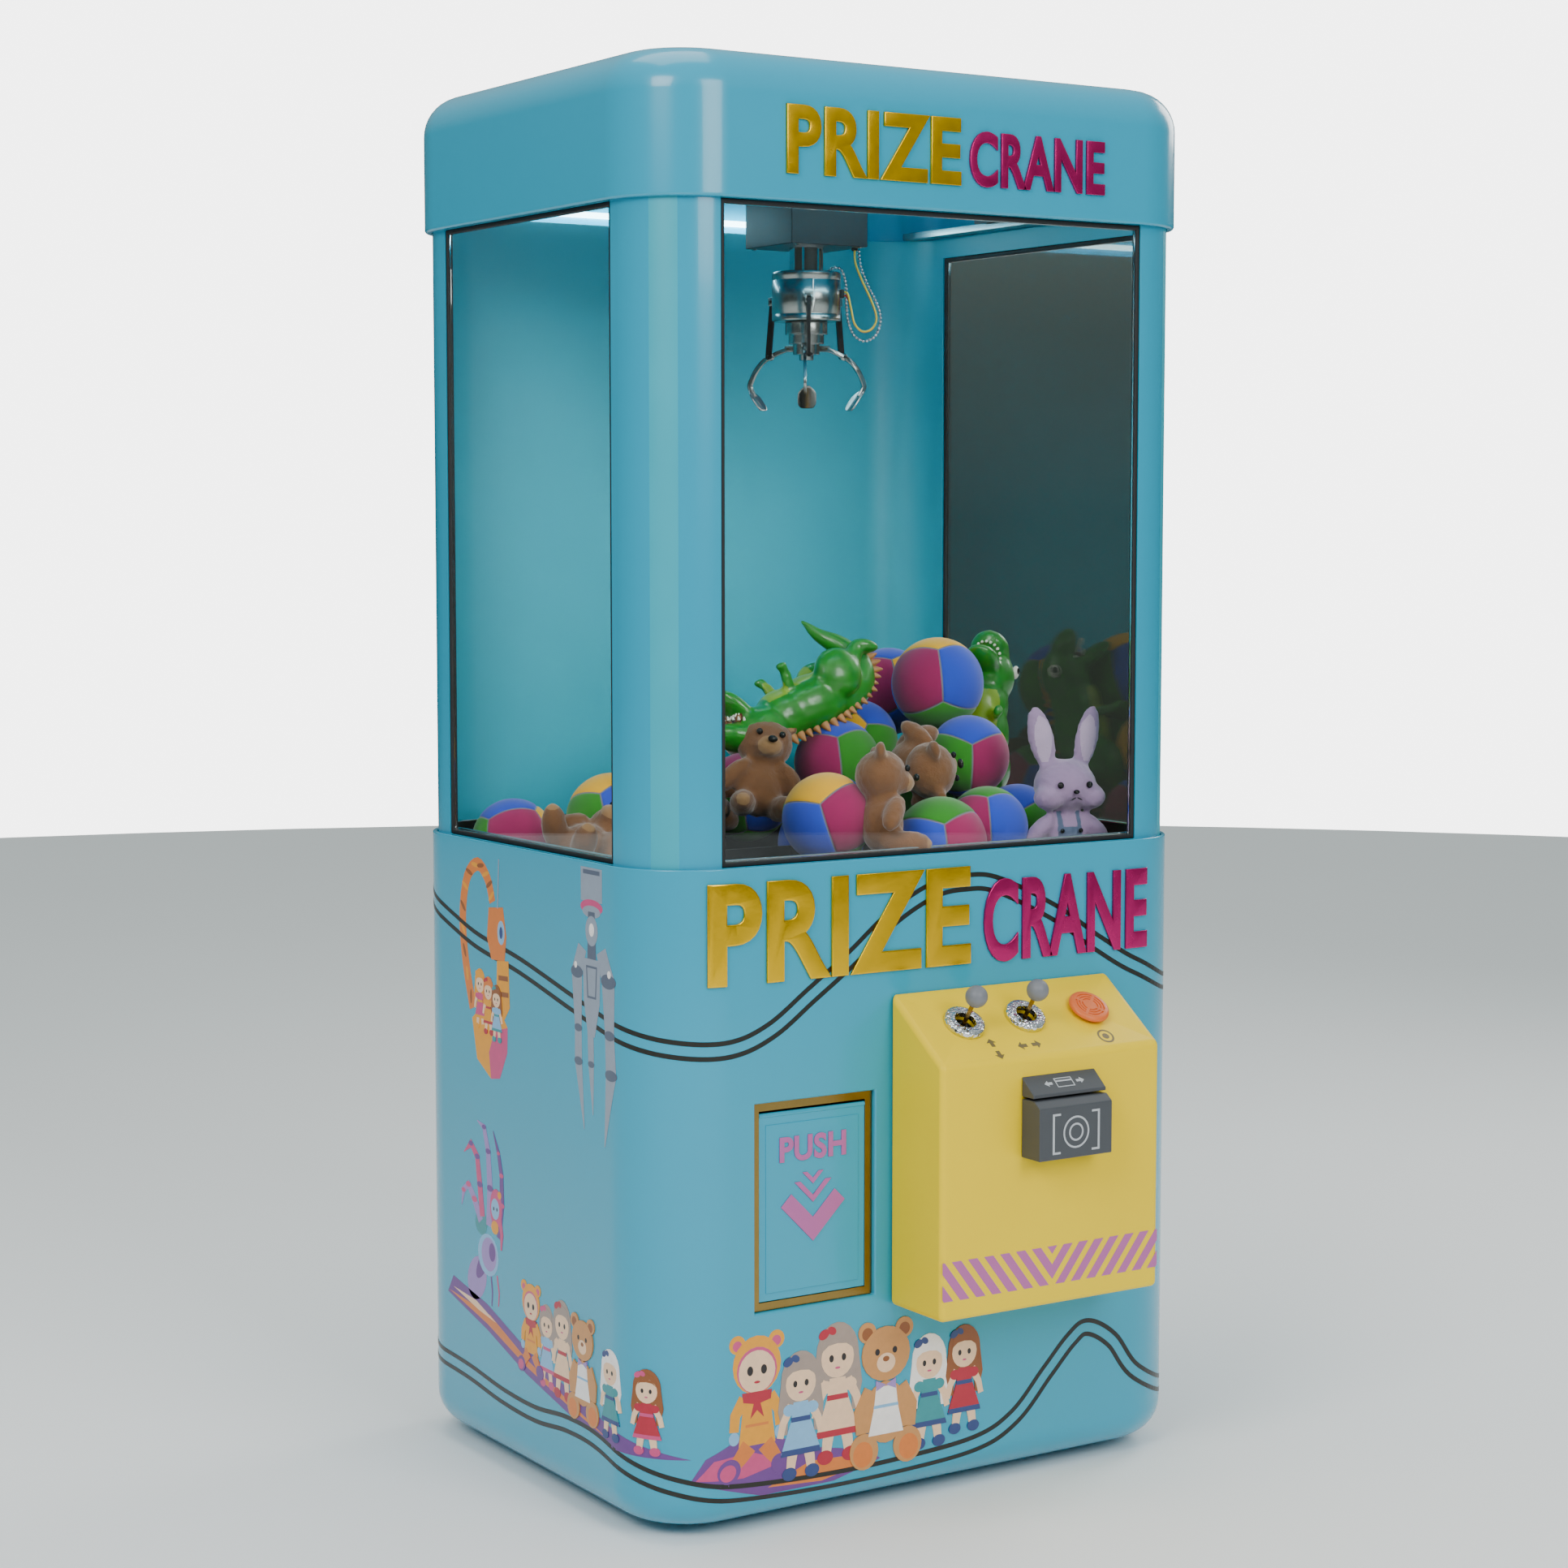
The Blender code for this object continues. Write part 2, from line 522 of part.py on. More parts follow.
def make_joystick(side, x):
    """Collar, microswitch housing, gimbal ring, stick and ball; the pivot is below the panel."""
    name = side + "_joystick_"
    pivot_depth = -0.0175
    turned(name + "collar", [(0.0155, 0.0095), (0.0235, 0.0095), (0.0275, 0.0075), (0.029, 0.004),
                             (0.029, GAP), (0.0145, GAP), (0.0145, 0.0085)],
           (x, 0, 0), CHROME, PANEL, sides=WIDE_ROUND, ring=True)
    top = -CONSOLE_WALL - GAP
    housing = box_between(name + "housing", (x - 0.024, -0.024, top - 0.032), (x + 0.024, 0.024, top),
                          BLACK_PLASTIC, PANEL)
    pocket = box_between(name + "pocket", (x - 0.020, -0.020, top - 0.04), (x + 0.020, 0.020, top - 0.003),
                         parent=PANEL)
    mouth = rod(name + "mouth", 0.014, 0.02, (x, 0, top), parent=PANEL)
    cut(housing, pocket, mouth)

    centre = anchor(name + "pivot", (x, 0, pivot_depth), parent=PANEL)
    gimbal = turned(name + "gimbal", tube_profile(0.0145, 0.0095, -0.003, 0.003), (0, 0, 0), DARK_STEEL,
                    centre, ring=True)
    for end in (-1, 1):
        weld(gimbal, rod(f"{name}trunnion_{end}", 0.002, 0.0056, (end * 0.0168, 0, 0), "x",
                         parent=centre, sides=12))
    stick = rod(name + "stick", 0.003, 0.072, (0, 0, 0.0165), "z", CHROME, centre)
    hub = rod(name + "hub", 0.005, 0.010, (0, 0, 0), "z", parent=centre, sides=16)
    cross = rod(name + "cross_pin", 0.0018, 0.0176, (0, 0, 0), "y", parent=centre, sides=12)
    weld(stick, hub, cross)
    ball_profile = [(0.015 * math.sin(a), 0.015 * math.cos(a))
                    for a in [math.pi * i / 8 for i in range(9)]]
    ball_profile[0] = (0, 0.015)
    ball_profile[-1] = (0, -0.015)
    turned(name + "ball", ball_profile, (0, 0, 0.0525 + 0.015 + GAP), GREY_BALL, centre)


def make_button():
    """Sprung push button: domed cap on a stem, body with a flange, and its return spring."""
    cap = [(0, 0.0125), (0.025, 0.0125), (0.0275, 0.0115), (0.029, 0.0095), (0.029, 0.0055),
           (0.0075, 0.0055), (0.0075, -0.024), (0, -0.024)]
    turned("push_button_cap", cap, (BUTTON_X, 0, 0), ORANGE, PANEL, sides=WIDE_ROUND)
    body = [(0.021, 0.0016), (0.021, GAP), (0.0160, GAP), (0.0160, -0.032), (0.0090, -0.032),
            (0.0090, -0.021), (0.0140, -0.021), (0.0140, 0.0016)]
    turned("push_button_body", body, (BUTTON_X, 0, 0), BLACK_PLASTIC, PANEL, sides=WIDE_ROUND, ring=True)
    turned("push_button_spring", tube_profile(0.0125, 0.0090, -0.0205, -0.0002), (BUTTON_X, 0, 0),
           BRUSHED, PANEL, ring=True)


def make_reader():
    """Card reader: the card slides sideways through the gap between the cap and the body."""
    back = -BASE_Y - CONSOLE_DEPTH - GAP
    face = back - READER_DEPTH
    body = [(back, READER_LOW), (back, READER_SLOT), (face + 0.0115, READER_SLOT),
            (face, READER_SLOT - 0.0085), (face, READER_LOW)]
    outline("reader_body", body, READER_WIDTH, "yz", (READER_X, 0, 0), GREY_PLASTIC)
    seat = READER_SLOT + SLOT_GAP
    cap = [(back, seat), (back, READER_TOP), (back - 0.026, READER_TOP - 0.0215), (back - 0.026, seat)]
    outline("reader_cap", cap, READER_WIDTH, "yz", (READER_X, 0, 0), GREY_PLASTIC)


# ---------------------------------------------------------------- gantry
def make_rails():
    """Each rail is a flange with a guide lip, on two tabs that rest on the cabin frame."""
    underside = HEADER_BOTTOM + CABIN_TONGUE + GAP
    for side, sign in (("left", -1), ("right", 1)):
        inner, outer = sign * RAIL_X, sign * (RAIL_X + 0.0255)
        rail = box_between(f"rail_{side}", (min(inner, outer), -RAIL_HALF, underside),
                           (max(inner, outer), RAIL_HALF, RAIL_TOP), BRUSHED)
        lip_edge = sign * (RAIL_X + 0.003)
        lip = box_between(f"rail_{side}_lip", (min(inner, lip_edge), -RAIL_HALF, RAIL_TOP - 0.001),
                          (max(inner, lip_edge), RAIL_HALF, RAIL_TOP + 0.006))
        weld(rail, lip)
        tab_edge = sign * (RAIL_X + 0.0430)
        for place, y in (("front", -0.18), ("rear", 0.18)):
            weld(rail, box_between(f"rail_{side}_tab_{place}",
                                   (min(inner, tab_edge), y - 0.015, underside),
                                   (max(inner, tab_edge), y + 0.015, underside + 0.003)))


def make_bridge():
    """Two beams between end plates, which carry an axle at the front and one at the rear."""
    half = END_PLATE_X + END_PLATE_THICK / 2
    bridge = box_between("bridge_beam", (-half, BEAM_Y - BEAM_WIDTH / 2, BEAM_LOW),
                         (half, BEAM_Y + BEAM_WIDTH / 2, BEAM_HIGH), DARK_STEEL)
    front_beam = box_between("front_beam", (-half, -BEAM_Y - BEAM_WIDTH / 2, BEAM_LOW),
                             (half, -BEAM_Y + BEAM_WIDTH / 2, BEAM_HIGH))
    plates = [block(f"end_plate_{sign}", (END_PLATE_THICK, 2 * END_PLATE_Y, 0.034),
                    (sign * END_PLATE_X, 0, 1.767)) for sign in (-1, 1)]
    weld(bridge, plates[0], plates[1], front_beam)
    axle_z = RAIL_TOP + GAP + WHEEL_RADIUS
    bores = [rod(f"axle_bore_{sign}", AXLE_RADIUS + GAP, 1.0, (0, sign * AXLE_Y, axle_z), "x",
                 sides=16) for sign in (-1, 1)]
    cut(bridge, *bores)

    for place, sign in (("front", -1), ("rear", 1)):
        pivot = anchor(f"axle_{place}_pivot", (0, sign * AXLE_Y, axle_z), parent=MACHINE)
        axle = rod(f"bridge_axle_{place}", AXLE_RADIUS, 2 * (WHEEL_X + 0.014), (0, 0, 0), "x", BRUSHED,
                   pivot, sides=16)
        for end in (-1, 1):
            weld(axle, rod(f"wheel_{place}_{end}", WHEEL_RADIUS, 0.012, (end * (WHEEL_X + 0.006), 0, 0),
                           "x", parent=pivot))


def make_trolley():
    """Closed housing that hangs between the beams by its top plate."""
    carriage = anchor("trolley", (TROLLEY_X, 0, 0), parent=MACHINE)
    x, y = TROLLEY_WIDE / 2, TROLLEY_DEEP / 2
    housing = box_between("trolley_housing", (-x, -y, TROLLEY_LOW), (x, y, TROLLEY_HIGH), BLACK_STEEL,
                          carriage)
    ears = box_between("trolley_ears", (-x, -BEAM_Y - BEAM_WIDTH / 2, BEAM_HIGH + GAP),
                       (x, BEAM_Y + BEAM_WIDTH / 2, TROLLEY_HIGH), parent=carriage)
    wall = TROLLEY_WALL
    hollow = box_between("trolley_hollow", (wall - x, wall - y, TROLLEY_LOW + wall),
                         (x - wall, y - wall, BEAM_HIGH - 0.001), parent=carriage)
    bore = rod("trolley_bore", TUBE_OUTER + GAP, 0.3, (0, 0, 1.735), parent=carriage, sides=WIDE_ROUND)
    weld(housing, ears)
    cut(housing, hollow, bore)

    deck = TROLLEY_HIGH + GAP
    motor = rod("hoist_motor", 0.016, 0.042, (0.039, DRUM_Y, DRUM_Z), "x", DARK_STEEL, carriage)
    foot = box_between("motor_foot", (0.022, DRUM_Y - 0.014, deck), (0.056, DRUM_Y + 0.014, DRUM_Z),
                       parent=carriage)
    weld(motor, foot)
    shaft = anchor("drum_shaft", (0, DRUM_Y, DRUM_Z), parent=carriage)
    drum = rod("hoist_drum", DRUM_RADIUS, 0.024, (0, 0, 0), "x", BRUSHED, shaft)
    for end in (-1, 1):
        weld(drum, rod(f"drum_flange_{end}", DRUM_RADIUS + 0.0025, 0.002, (end * 0.012, 0, 0), "x",
                       parent=shaft))

    turned("tube_outer", tube_profile(TUBE_OUTER, TUBE_MID + GAP, TUBE_LOW, TUBE_HIGH), (0, 0, 0),
           CHROME, carriage, sides=WIDE_ROUND, ring=True)
    turned("tube_mid", tube_profile(TUBE_MID, STEM_RADIUS + GAP, TUBE_LOW, TUBE_HIGH - 0.004), (0, 0, 0),
           CHROME, carriage, sides=WIDE_ROUND, ring=True)
    turned("claw_stem", tube_profile(STEM_RADIUS, STEM_RADIUS - 0.004, HEAD_HIGH + GAP,
                                     TUBE_HIGH - 0.008),
           (0, 0, 0), CHROME, carriage, sides=WIDE_ROUND, ring=True)
    return carriage


# ---------------------------------------------------------------- claw
BLADE_START = (0.0295, -0.0505)         # arm points from the elbow: outwards, upwards
BLADE_TIP = (0.0100, -0.0765)


def arm_path():
    """Middle line of an arm from its inner end, over the elbow, to the start of the blade."""
    return [(-0.0310, 0.0105), (0.0, 0.0), (0.0130, -0.0075), (0.0240, -0.0195), (0.0310, -0.0320),
            (0.0340, -0.0415), BLADE_START, (0.0255, -0.0560)]


def ribbon(points, width):
    """Outline of an even strip along a path, with square ends."""
    sides = ([], [])
    for i, point in enumerate(points):
        before = Vector(points[max(i - 1, 0)])
        after = Vector(points[min(i + 1, len(points) - 1)])
        along = (after - before).normalized()
        across = Vector((-along.y, along.x)) * width / 2
        sides[0].append(tuple(Vector(point) + across))
        sides[1].append(tuple(Vector(point) - across))
    return sides[0][::-1] + sides[1]


def make_arm(number, spoke):
    """Finger: a bent flat bar beside its strut, ending in a spade blade."""
    elbow = anchor(f"elbow_{number}", (ELBOW_R, 0, ELBOW_Z), parent=spoke)
    side = -(PLAY + BAR / 2)
    arm = outline(f"claw_arm_{number}", ribbon(smooth_path(arm_path()), 0.0060), BAR - 0.0005, "xz",
                  (0, side, 0), BRUSHED, elbow)
    end = arm_path()[0]
    tip_knob = rod(f"arm_end_{number}", 0.0040, BAR - 0.0002, (end[0], side, end[1]), "y", parent=elbow,
                   sides=16)
    knuckle = rod(f"arm_knuckle_{number}", 0.0050, BAR, (0, side, 0), "y", parent=elbow, sides=16)
    pin = rod(f"elbow_pin_{number}", 0.0020, 2 * BAR + 0.003, (0, 0.0015, 0), "y", parent=elbow, sides=12)
    fall = Vector(BLADE_TIP) - Vector(BLADE_START)
    lean = math.atan2(fall.x, fall.y)
    spade = [(-0.0035, 0.005), (-0.0100, -0.002), (-0.0130, -0.009), (-0.0130, -0.024), (-0.0095, -0.0315),
             (0.0095, -0.0315), (0.0130, -0.024), (0.0130, -0.009), (0.0100, -0.002), (0.0035, 0.005)]
    blade = outline(f"blade_{number}", spade, 0.0026, "xy", parent=elbow)
    stand = Matrix.Rotation(math.pi / 2, 4, "X")
    face = Matrix.Rotation(math.pi / 2, 4, "Z")
    tilt = Matrix.Rotation(lean - math.pi, 4, "Y")
    blade.data.transform(Matrix.Translation((BLADE_START[0], 0, BLADE_START[1])) @ tilt @ face @ stand)
    weld(arm, knuckle, tip_knob, pin, blade)


def smooth_path(points):
    return [(p.x, p.y) for p in smooth_route([(u, v, 0) for u, v in points], 2)]


def make_strut(number, spoke):
    pivot = anchor(f"strut_pivot_{number}", (STRUT_R, 0, STRUT_Z), parent=spoke)
    side = PLAY + BAR / 2
    end = (ELBOW_R - STRUT_R, ELBOW_Z - STRUT_Z)
    strut = outline(f"claw_link_{number}", capsule_points((0, 0), end, 0.0040), BAR, "xz", (0, side, 0),
                    DARK_STEEL, pivot)
    for i, (u, v) in enumerate(((0, 0), end)):
        cut(strut, rod(f"strut_hole_{number}_{i}", 0.0023, 0.02, (u, side, v), "y", parent=pivot, sides=12))


def make_claw(carriage):
    head_profile = [(0, HEAD_HIGH), (0.046, HEAD_HIGH), (HEAD_RADIUS, HEAD_HIGH - 0.0025),
                    (HEAD_RADIUS, HEAD_LOW + 0.002), (0.0470, HEAD_LOW), (HEAD_BORE, HEAD_LOW),
                    (HEAD_BORE, HEAD_BORE_TOP), (0, HEAD_BORE_TOP)]
    head = turned("claw_head", head_profile, (0, 0, 0), BRUSHED, carriage, sides=WIDE_ROUND)
    plunger_profile = [(0, 1.622), (0.012, 1.622), (0.012, 1.5866), (0.030, 1.5866), (0.030, 1.569),
                       (0.025, 1.569), (0.025, 1.556), (0.019, 1.556), (0.019, 1.541), (0.010, 1.541),
                       (0.010, 1.533), (0, 1.533)]
    plunger = turned("claw_plunger", plunger_profile, (0, 0, 0), BRUSHED, carriage, sides=WIDE_ROUND)
    bar = BAR + 2 * PLAY
    for number, degrees in enumerate(ARM_ANGLES, 1):
        spoke = anchor(f"spoke_{number}", (0, 0, 0), (0, 0, math.radians(degrees)), carriage)
        for cheek, y in (("a", -0.0015), ("b", bar + 0.0015)):
            weld(head, block(f"ear_{number}_{cheek}", (0.014, 0.003, 0.012), (0.0510, y, STRUT_Z),
                             parent=spoke))
        weld(head, rod(f"strut_pin_{number}", 0.0020, bar + 0.006, (STRUT_R, bar / 2, STRUT_Z), "y",
                       parent=spoke, sides=12))
        cut(head, box_between(f"notch_{number}", (0.0435, -0.0006, HEAD_LOW - 0.01),
                              (0.0600, bar + 0.0006, STRUT_Z - 0.0085), parent=spoke),
            box_between(f"relief_{number}", (0.0440, -0.0008, STRUT_Z - 0.0095),
                        (0.0495, bar + 0.0008, STRUT_Z + 0.0050), parent=spoke))
        for cheek, y in (("a", -bar - 0.0012), ("b", 0.0012)):
            weld(plunger, block(f"lug_{number}_{cheek}", (0.018, 0.0022, 0.0085), (0.0255, y, 1.5500),
                                parent=spoke))
        make_strut(number, spoke)
        make_arm(number, spoke)


def make_wires(carriage):
    """Solenoid leads and a beaded safety cable, from the trolley to the side of the head."""
    plug = HEAD_RADIUS + 0.0006
    out, over = Vector((math.cos(WIRE_AZIMUTH), math.sin(WIRE_AZIMUTH), 0)), Vector((0, 0, 1))

    def route(points, aside):
        sideways = Vector((-out.y, out.x, 0)) * aside
        return [tuple(out * r + over * z + sideways) for r, z in points]

    top = TROLLEY_LOW - GAP
    for name, material, aside, z in (("claw_wire_red", RED_WIRE, 0.004, 1.6245),
                                     ("claw_wire_yellow", YELLOW_WIRE, -0.004, 1.6285)):
        cord(name, route([(0.068, top), (0.069, 1.670), (0.078, 1.646), (0.092, 1.616), (0.099, 1.592),
                          (0.092, 1.577), (0.079, 1.574), (0.068, 1.585), (0.063, 1.606),
                          (0.058, z - 0.002), (plug, z)], aside), 0.0028, material, carriage, 3)
    cord("claw_spring_cable", route([(0.074, top), (0.077, 1.666), (0.088, 1.638), (0.101, 1.611),
                                     (0.105, 1.590), (0.098, 1.569), (0.082, 1.561), (0.067, 1.570),
                                     (0.059, 1.590), (0.0565, 1.615), (0.0560, 1.640), (0.050, 1.6605),
                                     (0.040, 1.6640), (0.032, HEAD_HIGH + 0.0030)], 0.012), 0.0050,
         CHROME, carriage, 2)


WIRE_AZIMUTH = math.radians(-33)


# ---------------------------------------------------------------- prizes
PILE_BED = 0.840
PRIZES = (                              # centre, half extents: soft toys and sewn balls in a heap
    ((0.245, 0.000, 1.070), (0.068, 0.068, 0.068)),
    ((0.250, 0.150, 1.030), (0.066, 0.066, 0.066)),
    ((0.055, -0.020, 0.965), (0.064, 0.064, 0.064)),
    ((-0.030, -0.140, 0.895), (0.060, 0.060, 0.060)),
    ((0.250, -0.070, 0.965), (0.062, 0.062, 0.062)),
    ((0.080, -0.245, 0.865), (0.064, 0.064, 0.064)),
    ((0.200, -0.200, 0.872), (0.060, 0.060, 0.060)),
    ((0.090, -0.130, 0.970), (0.090, 0.060, 0.050)),
    ((0.300, -0.240, 0.915), (0.070, 0.055, 0.110)),
    ((0.010, 0.010, 1.040), (0.120, 0.070, 0.060)),
    ((0.040, 0.060, 1.110), (0.040, 0.030, 0.045)),
    ((0.340, 0.020, 0.960), (0.060, 0.080, 0.060)),
    ((-0.130, 0.000, 0.930), (0.090, 0.080, 0.070)),
    ((-0.280, 0.080, 0.870), (0.090, 0.075, 0.060)),
    ((-0.200, 0.170, 0.870), (0.068, 0.068, 0.068)),
    ((0.050, 0.180, 0.900), (0.120, 0.090, 0.080)),
    ((0.280, 0.200, 0.900), (0.090, 0.080, 0.080)),
)


def make_prizes():
    """The heap of prizes as one soft solid: a bed on the tray, and each toy's bulk rising out of it."""
    lift = TRAY_FLOOR + GAP
    bed = box_between("prize_pile", (-0.085, -0.315, lift), (0.400, 0.315, PILE_BED + 0.03), PLUSH,
                      corner=0.07, segments=3)
    wing = box_between("prize_wing", (-0.400, -0.120, lift), (0.0, 0.315, PILE_BED), corner=0.07,
                       segments=3)
    weld(bed, wing)
    for number, (centre, half) in enumerate(PRIZES):
        shape = bmesh.new()
        bmesh.ops.create_uvsphere(shape, u_segments=PRIZE_SIDES, v_segments=PRIZE_RINGS, radius=1.0)
        bmesh.ops.scale(shape, vec=half, verts=shape.verts)
        root = (centre[2] - PILE_BED + 0.02) / half[2]
        bmesh.ops.scale(shape, vec=(1, 1, root), verts=[v for v in shape.verts if v.co.z < 0])
        mesh = bpy.data.meshes.new(f"prize_{number}")
        shape.to_mesh(mesh)
        shape.free()
        weld(bed, put(f"prize_{number}", mesh, None, centre, MACHINE))


make_base()
make_cabin()
make_header()
for window in ("front", "left", "right"):
    make_window(window)
make_tray_and_chute()
make_feet()
make_prize_door()
make_service_door()
make_control_unit()
make_console()
make_joystick("left", STICK_LEFT_X)
make_joystick("right", STICK_RIGHT_X)
make_button()
make_reader()
make_rails()
make_bridge()
TROLLEY = make_trolley()
make_claw(TROLLEY)
make_wires(TROLLEY)
make_prizes()
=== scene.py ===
"""Looks of a claw crane machine: cabinet, gantry and claw, controls, soft prizes, printed vinyl."""
import json
import math

import bmesh
import bpy
import numpy as np
from mathutils import Euler, Matrix, Vector, noise


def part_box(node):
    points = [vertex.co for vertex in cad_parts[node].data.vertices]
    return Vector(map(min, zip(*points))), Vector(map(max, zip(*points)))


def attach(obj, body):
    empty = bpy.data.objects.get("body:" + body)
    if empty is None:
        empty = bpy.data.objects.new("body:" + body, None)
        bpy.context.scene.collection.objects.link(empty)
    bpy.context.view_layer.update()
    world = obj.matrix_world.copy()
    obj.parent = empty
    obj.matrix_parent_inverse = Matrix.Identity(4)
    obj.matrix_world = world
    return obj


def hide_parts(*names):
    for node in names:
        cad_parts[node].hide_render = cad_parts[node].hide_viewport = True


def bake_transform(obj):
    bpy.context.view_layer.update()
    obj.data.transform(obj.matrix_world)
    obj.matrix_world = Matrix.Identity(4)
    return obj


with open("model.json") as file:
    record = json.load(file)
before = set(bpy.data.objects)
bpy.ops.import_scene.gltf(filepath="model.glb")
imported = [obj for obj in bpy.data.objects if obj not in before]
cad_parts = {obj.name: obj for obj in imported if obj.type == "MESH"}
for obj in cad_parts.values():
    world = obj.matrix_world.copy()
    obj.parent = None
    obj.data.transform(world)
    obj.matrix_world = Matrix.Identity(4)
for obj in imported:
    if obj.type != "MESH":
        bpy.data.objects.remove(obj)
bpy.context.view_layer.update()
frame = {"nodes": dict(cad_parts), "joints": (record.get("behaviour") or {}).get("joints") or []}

MM = 0.001

# ---------------------------------------------------------------- measures, from the frame
BASE_LOW, BASE_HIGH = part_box("base_cabinet")
CABIN_LOW, CABIN_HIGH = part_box("cabin_frame")
HEADER_LOW, HEADER_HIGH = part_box("header_shell")
CONSOLE_LOW, CONSOLE_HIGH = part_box("control_console")
CENTRE_Y = (HEADER_LOW.y + HEADER_HIGH.y) / 2
HEADER_BOTTOM, HEADER_TOP = HEADER_LOW.z, HEADER_HIGH.z
BASE_BOTTOM, BASE_TOP = BASE_LOW.z, BASE_HIGH.z
BASE_X, BASE_Y = BASE_HIGH.x, BASE_HIGH.y - CENTRE_Y
BASE_CORNER, BASE_FILLET, BASE_WALL = 0.115, 0.050, 0.010
HEADER_X, HEADER_Y = HEADER_HIGH.x, HEADER_HIGH.y - CENTRE_Y
HEADER_CORNER, HEADER_FILLET, HEADER_WALL = 0.115, 0.056, 0.0124
CABIN_X, CABIN_Y = CABIN_HIGH.x, CABIN_HIGH.y - CENTRE_Y
CABIN_CORNER, CABIN_WALL, SOCKET_CORNER = 0.096, 0.015, 0.0952
WINDOW_X, WINDOW_Y = 0.3382, 0.2338
JOINT = {j["name"]: j for j in frame["joints"]}


def pivot(name):
    """Where a joint turns or slides from, in metres."""
    return Vector(JOINT[name]["pos_m"])


# ---------------------------------------------------------------- nodes and materials
def linear(hex_colour):
    """An sRGB hex colour as linear RGBA."""
    channels = [int(hex_colour[i:i + 2], 16) / 255 for i in (0, 2, 4)]
    return tuple(c / 12.92 if c <= 0.04045 else ((c + 0.055) / 1.055) ** 2.4 for c in channels) + (1.0,)


def add(tree, kind, links=None, **settings):
    """Adds one node: settings are its own properties, links gives inputs a value or an output."""
    made = tree.nodes.new(kind)
    for key, value in settings.items():
        setattr(made, key, value)
    for key, value in (links or {}).items():
        if isinstance(value, bpy.types.NodeSocket):
            tree.links.new(value, made.inputs[key])
        else:
            made.inputs[key].default_value = value
    return made


def shaded(colour, share):
    """A linear colour made lighter or darker by a share."""
    return tuple(min(1.0, c * (1 + share)) for c in colour[:3]) + (1.0,)


def material(name, colour, roughness, metallic=0.0, patch_mm=60, patch=0.05, grain_mm=1.0, grain=0.02,
             spread=0.04, stretch=(1, 1, 1), **sockets):
    """A surface with cloudy colour, uneven gloss and a fine raised grain, all sized in millimetres."""
    made = bpy.data.materials.new(name)
    made.use_nodes = True
    tree = made.node_tree
    shader = tree.nodes["Principled BSDF"]
    shader.inputs["Metallic"].default_value = metallic
    for key, value in sockets.items():
        shader.inputs[key.replace("_", " ")].default_value = value
    tint = linear(colour)
    place = add(tree, "ShaderNodeTexCoord").outputs["Object"]
    clouds = add(tree, "ShaderNodeTexNoise", {"Vector": place, "Scale": 1000 / patch_mm, "Detail": 4.0})
    mixed = add(tree, "ShaderNodeMix", {"Factor": clouds.outputs["Fac"], "A": shaded(tint, -patch),
                                        "B": shaded(tint, patch)}, data_type="RGBA")
    tree.links.new(mixed.outputs["Result"], shader.inputs["Base Color"])
    gloss = add(tree, "ShaderNodeMapRange", {"Value": clouds.outputs["Fac"],
                                             "To Min": max(0.0, roughness - spread),
                                             "To Max": roughness + spread})
    tree.links.new(gloss.outputs["Result"], shader.inputs["Roughness"])
    lines = add(tree, "ShaderNodeMapping", {"Vector": place, "Scale": stretch})
    fine = add(tree, "ShaderNodeTexNoise", {"Vector": lines.outputs["Vector"], "Scale": 1000 / grain_mm,
                                            "Detail": 3.0})
    relief = add(tree, "ShaderNodeBump", {"Height": fine.outputs["Fac"], "Strength": 1.0,
                                          "Distance": grain * MM})
    tree.links.new(relief.outputs["Normal"], shader.inputs["Normal"])
    return made


# Gel-coated fibreglass, sprayed gloss: deep even colour under a clear coat, slight orange peel.
TEAL = material("gel_coat_teal", "1B9CBC", 0.24, patch_mm=240, patch=0.03, grain_mm=3.0, grain=0.008,
                Coat_Weight=0.35, Coat_Roughness=0.08, IOR=1.45)
# The same gel coat inside the cabin, flatter; its colour is a lighter, greener copy of the outside teal:
# painted light from the cabin lamps.
TEAL_INSIDE_PAINTED_LIGHT = material("gel_coat_teal_inside", "22A6BA", 0.38, patch_mm=90, patch=0.06, grain_mm=1.6,
                       grain=0.03, IOR=1.5)
# Sheet steel, black powder coat: dull, with the fine pebble of baked powder.
POWDER_BLACK = material("powder_coated_black_steel", "101113", 0.38, patch_mm=40, patch=0.15, grain_mm=0.9,
                        grain=0.03)
# EPDM gasket rubber, extruded: matt black with a faint bloom.
RUBBER = material("epdm_rubber", "121315", 0.62, patch_mm=30, patch=0.25, grain_mm=1.2, grain=0.03)
# Chromed steel tube, polished: mirror with faint draw lines around it.
CHROME = material("chromed_steel", "C6CBCF", 0.08, 1.0, patch_mm=25, patch=0.04, grain_mm=1.0, grain=0.002,
                  stretch=(0.1, 0.1, 1))
# Satin nickel plate over turned brass: soft streaks that run around the piece.
NICKEL = material("satin_nickel_plate", "9EA19F", 0.24, 1.0, patch_mm=30, patch=0.10, grain_mm=0.5,
                  grain=0.004, stretch=(0.05, 0.05, 1))
# Gunblued steel strip: near black metal that still takes a highlight.
BLUED = material("blued_steel", "3A3636", 0.34, 1.0, patch_mm=12, patch=0.20, grain_mm=0.8, grain=0.01)
# Polished brass, lacquered: warm metal, uneven where it has been wiped.
BRASS = material("lacquered_brass", "8C7440", 0.24, 1.0, patch_mm=30, patch=0.22, grain_mm=0.8, grain=0.006,
                 spread=0.08)
# Injection-moulded ABS in signal yellow: gloss with a spark-eroded fine grain.
YELLOW = material("moulded_abs_yellow", "F7D200", 0.45, patch_mm=120, patch=0.04, grain_mm=1.2, grain=0.02,
                  Coat_Weight=0.05, Coat_Roughness=0.25, IOR=1.3)
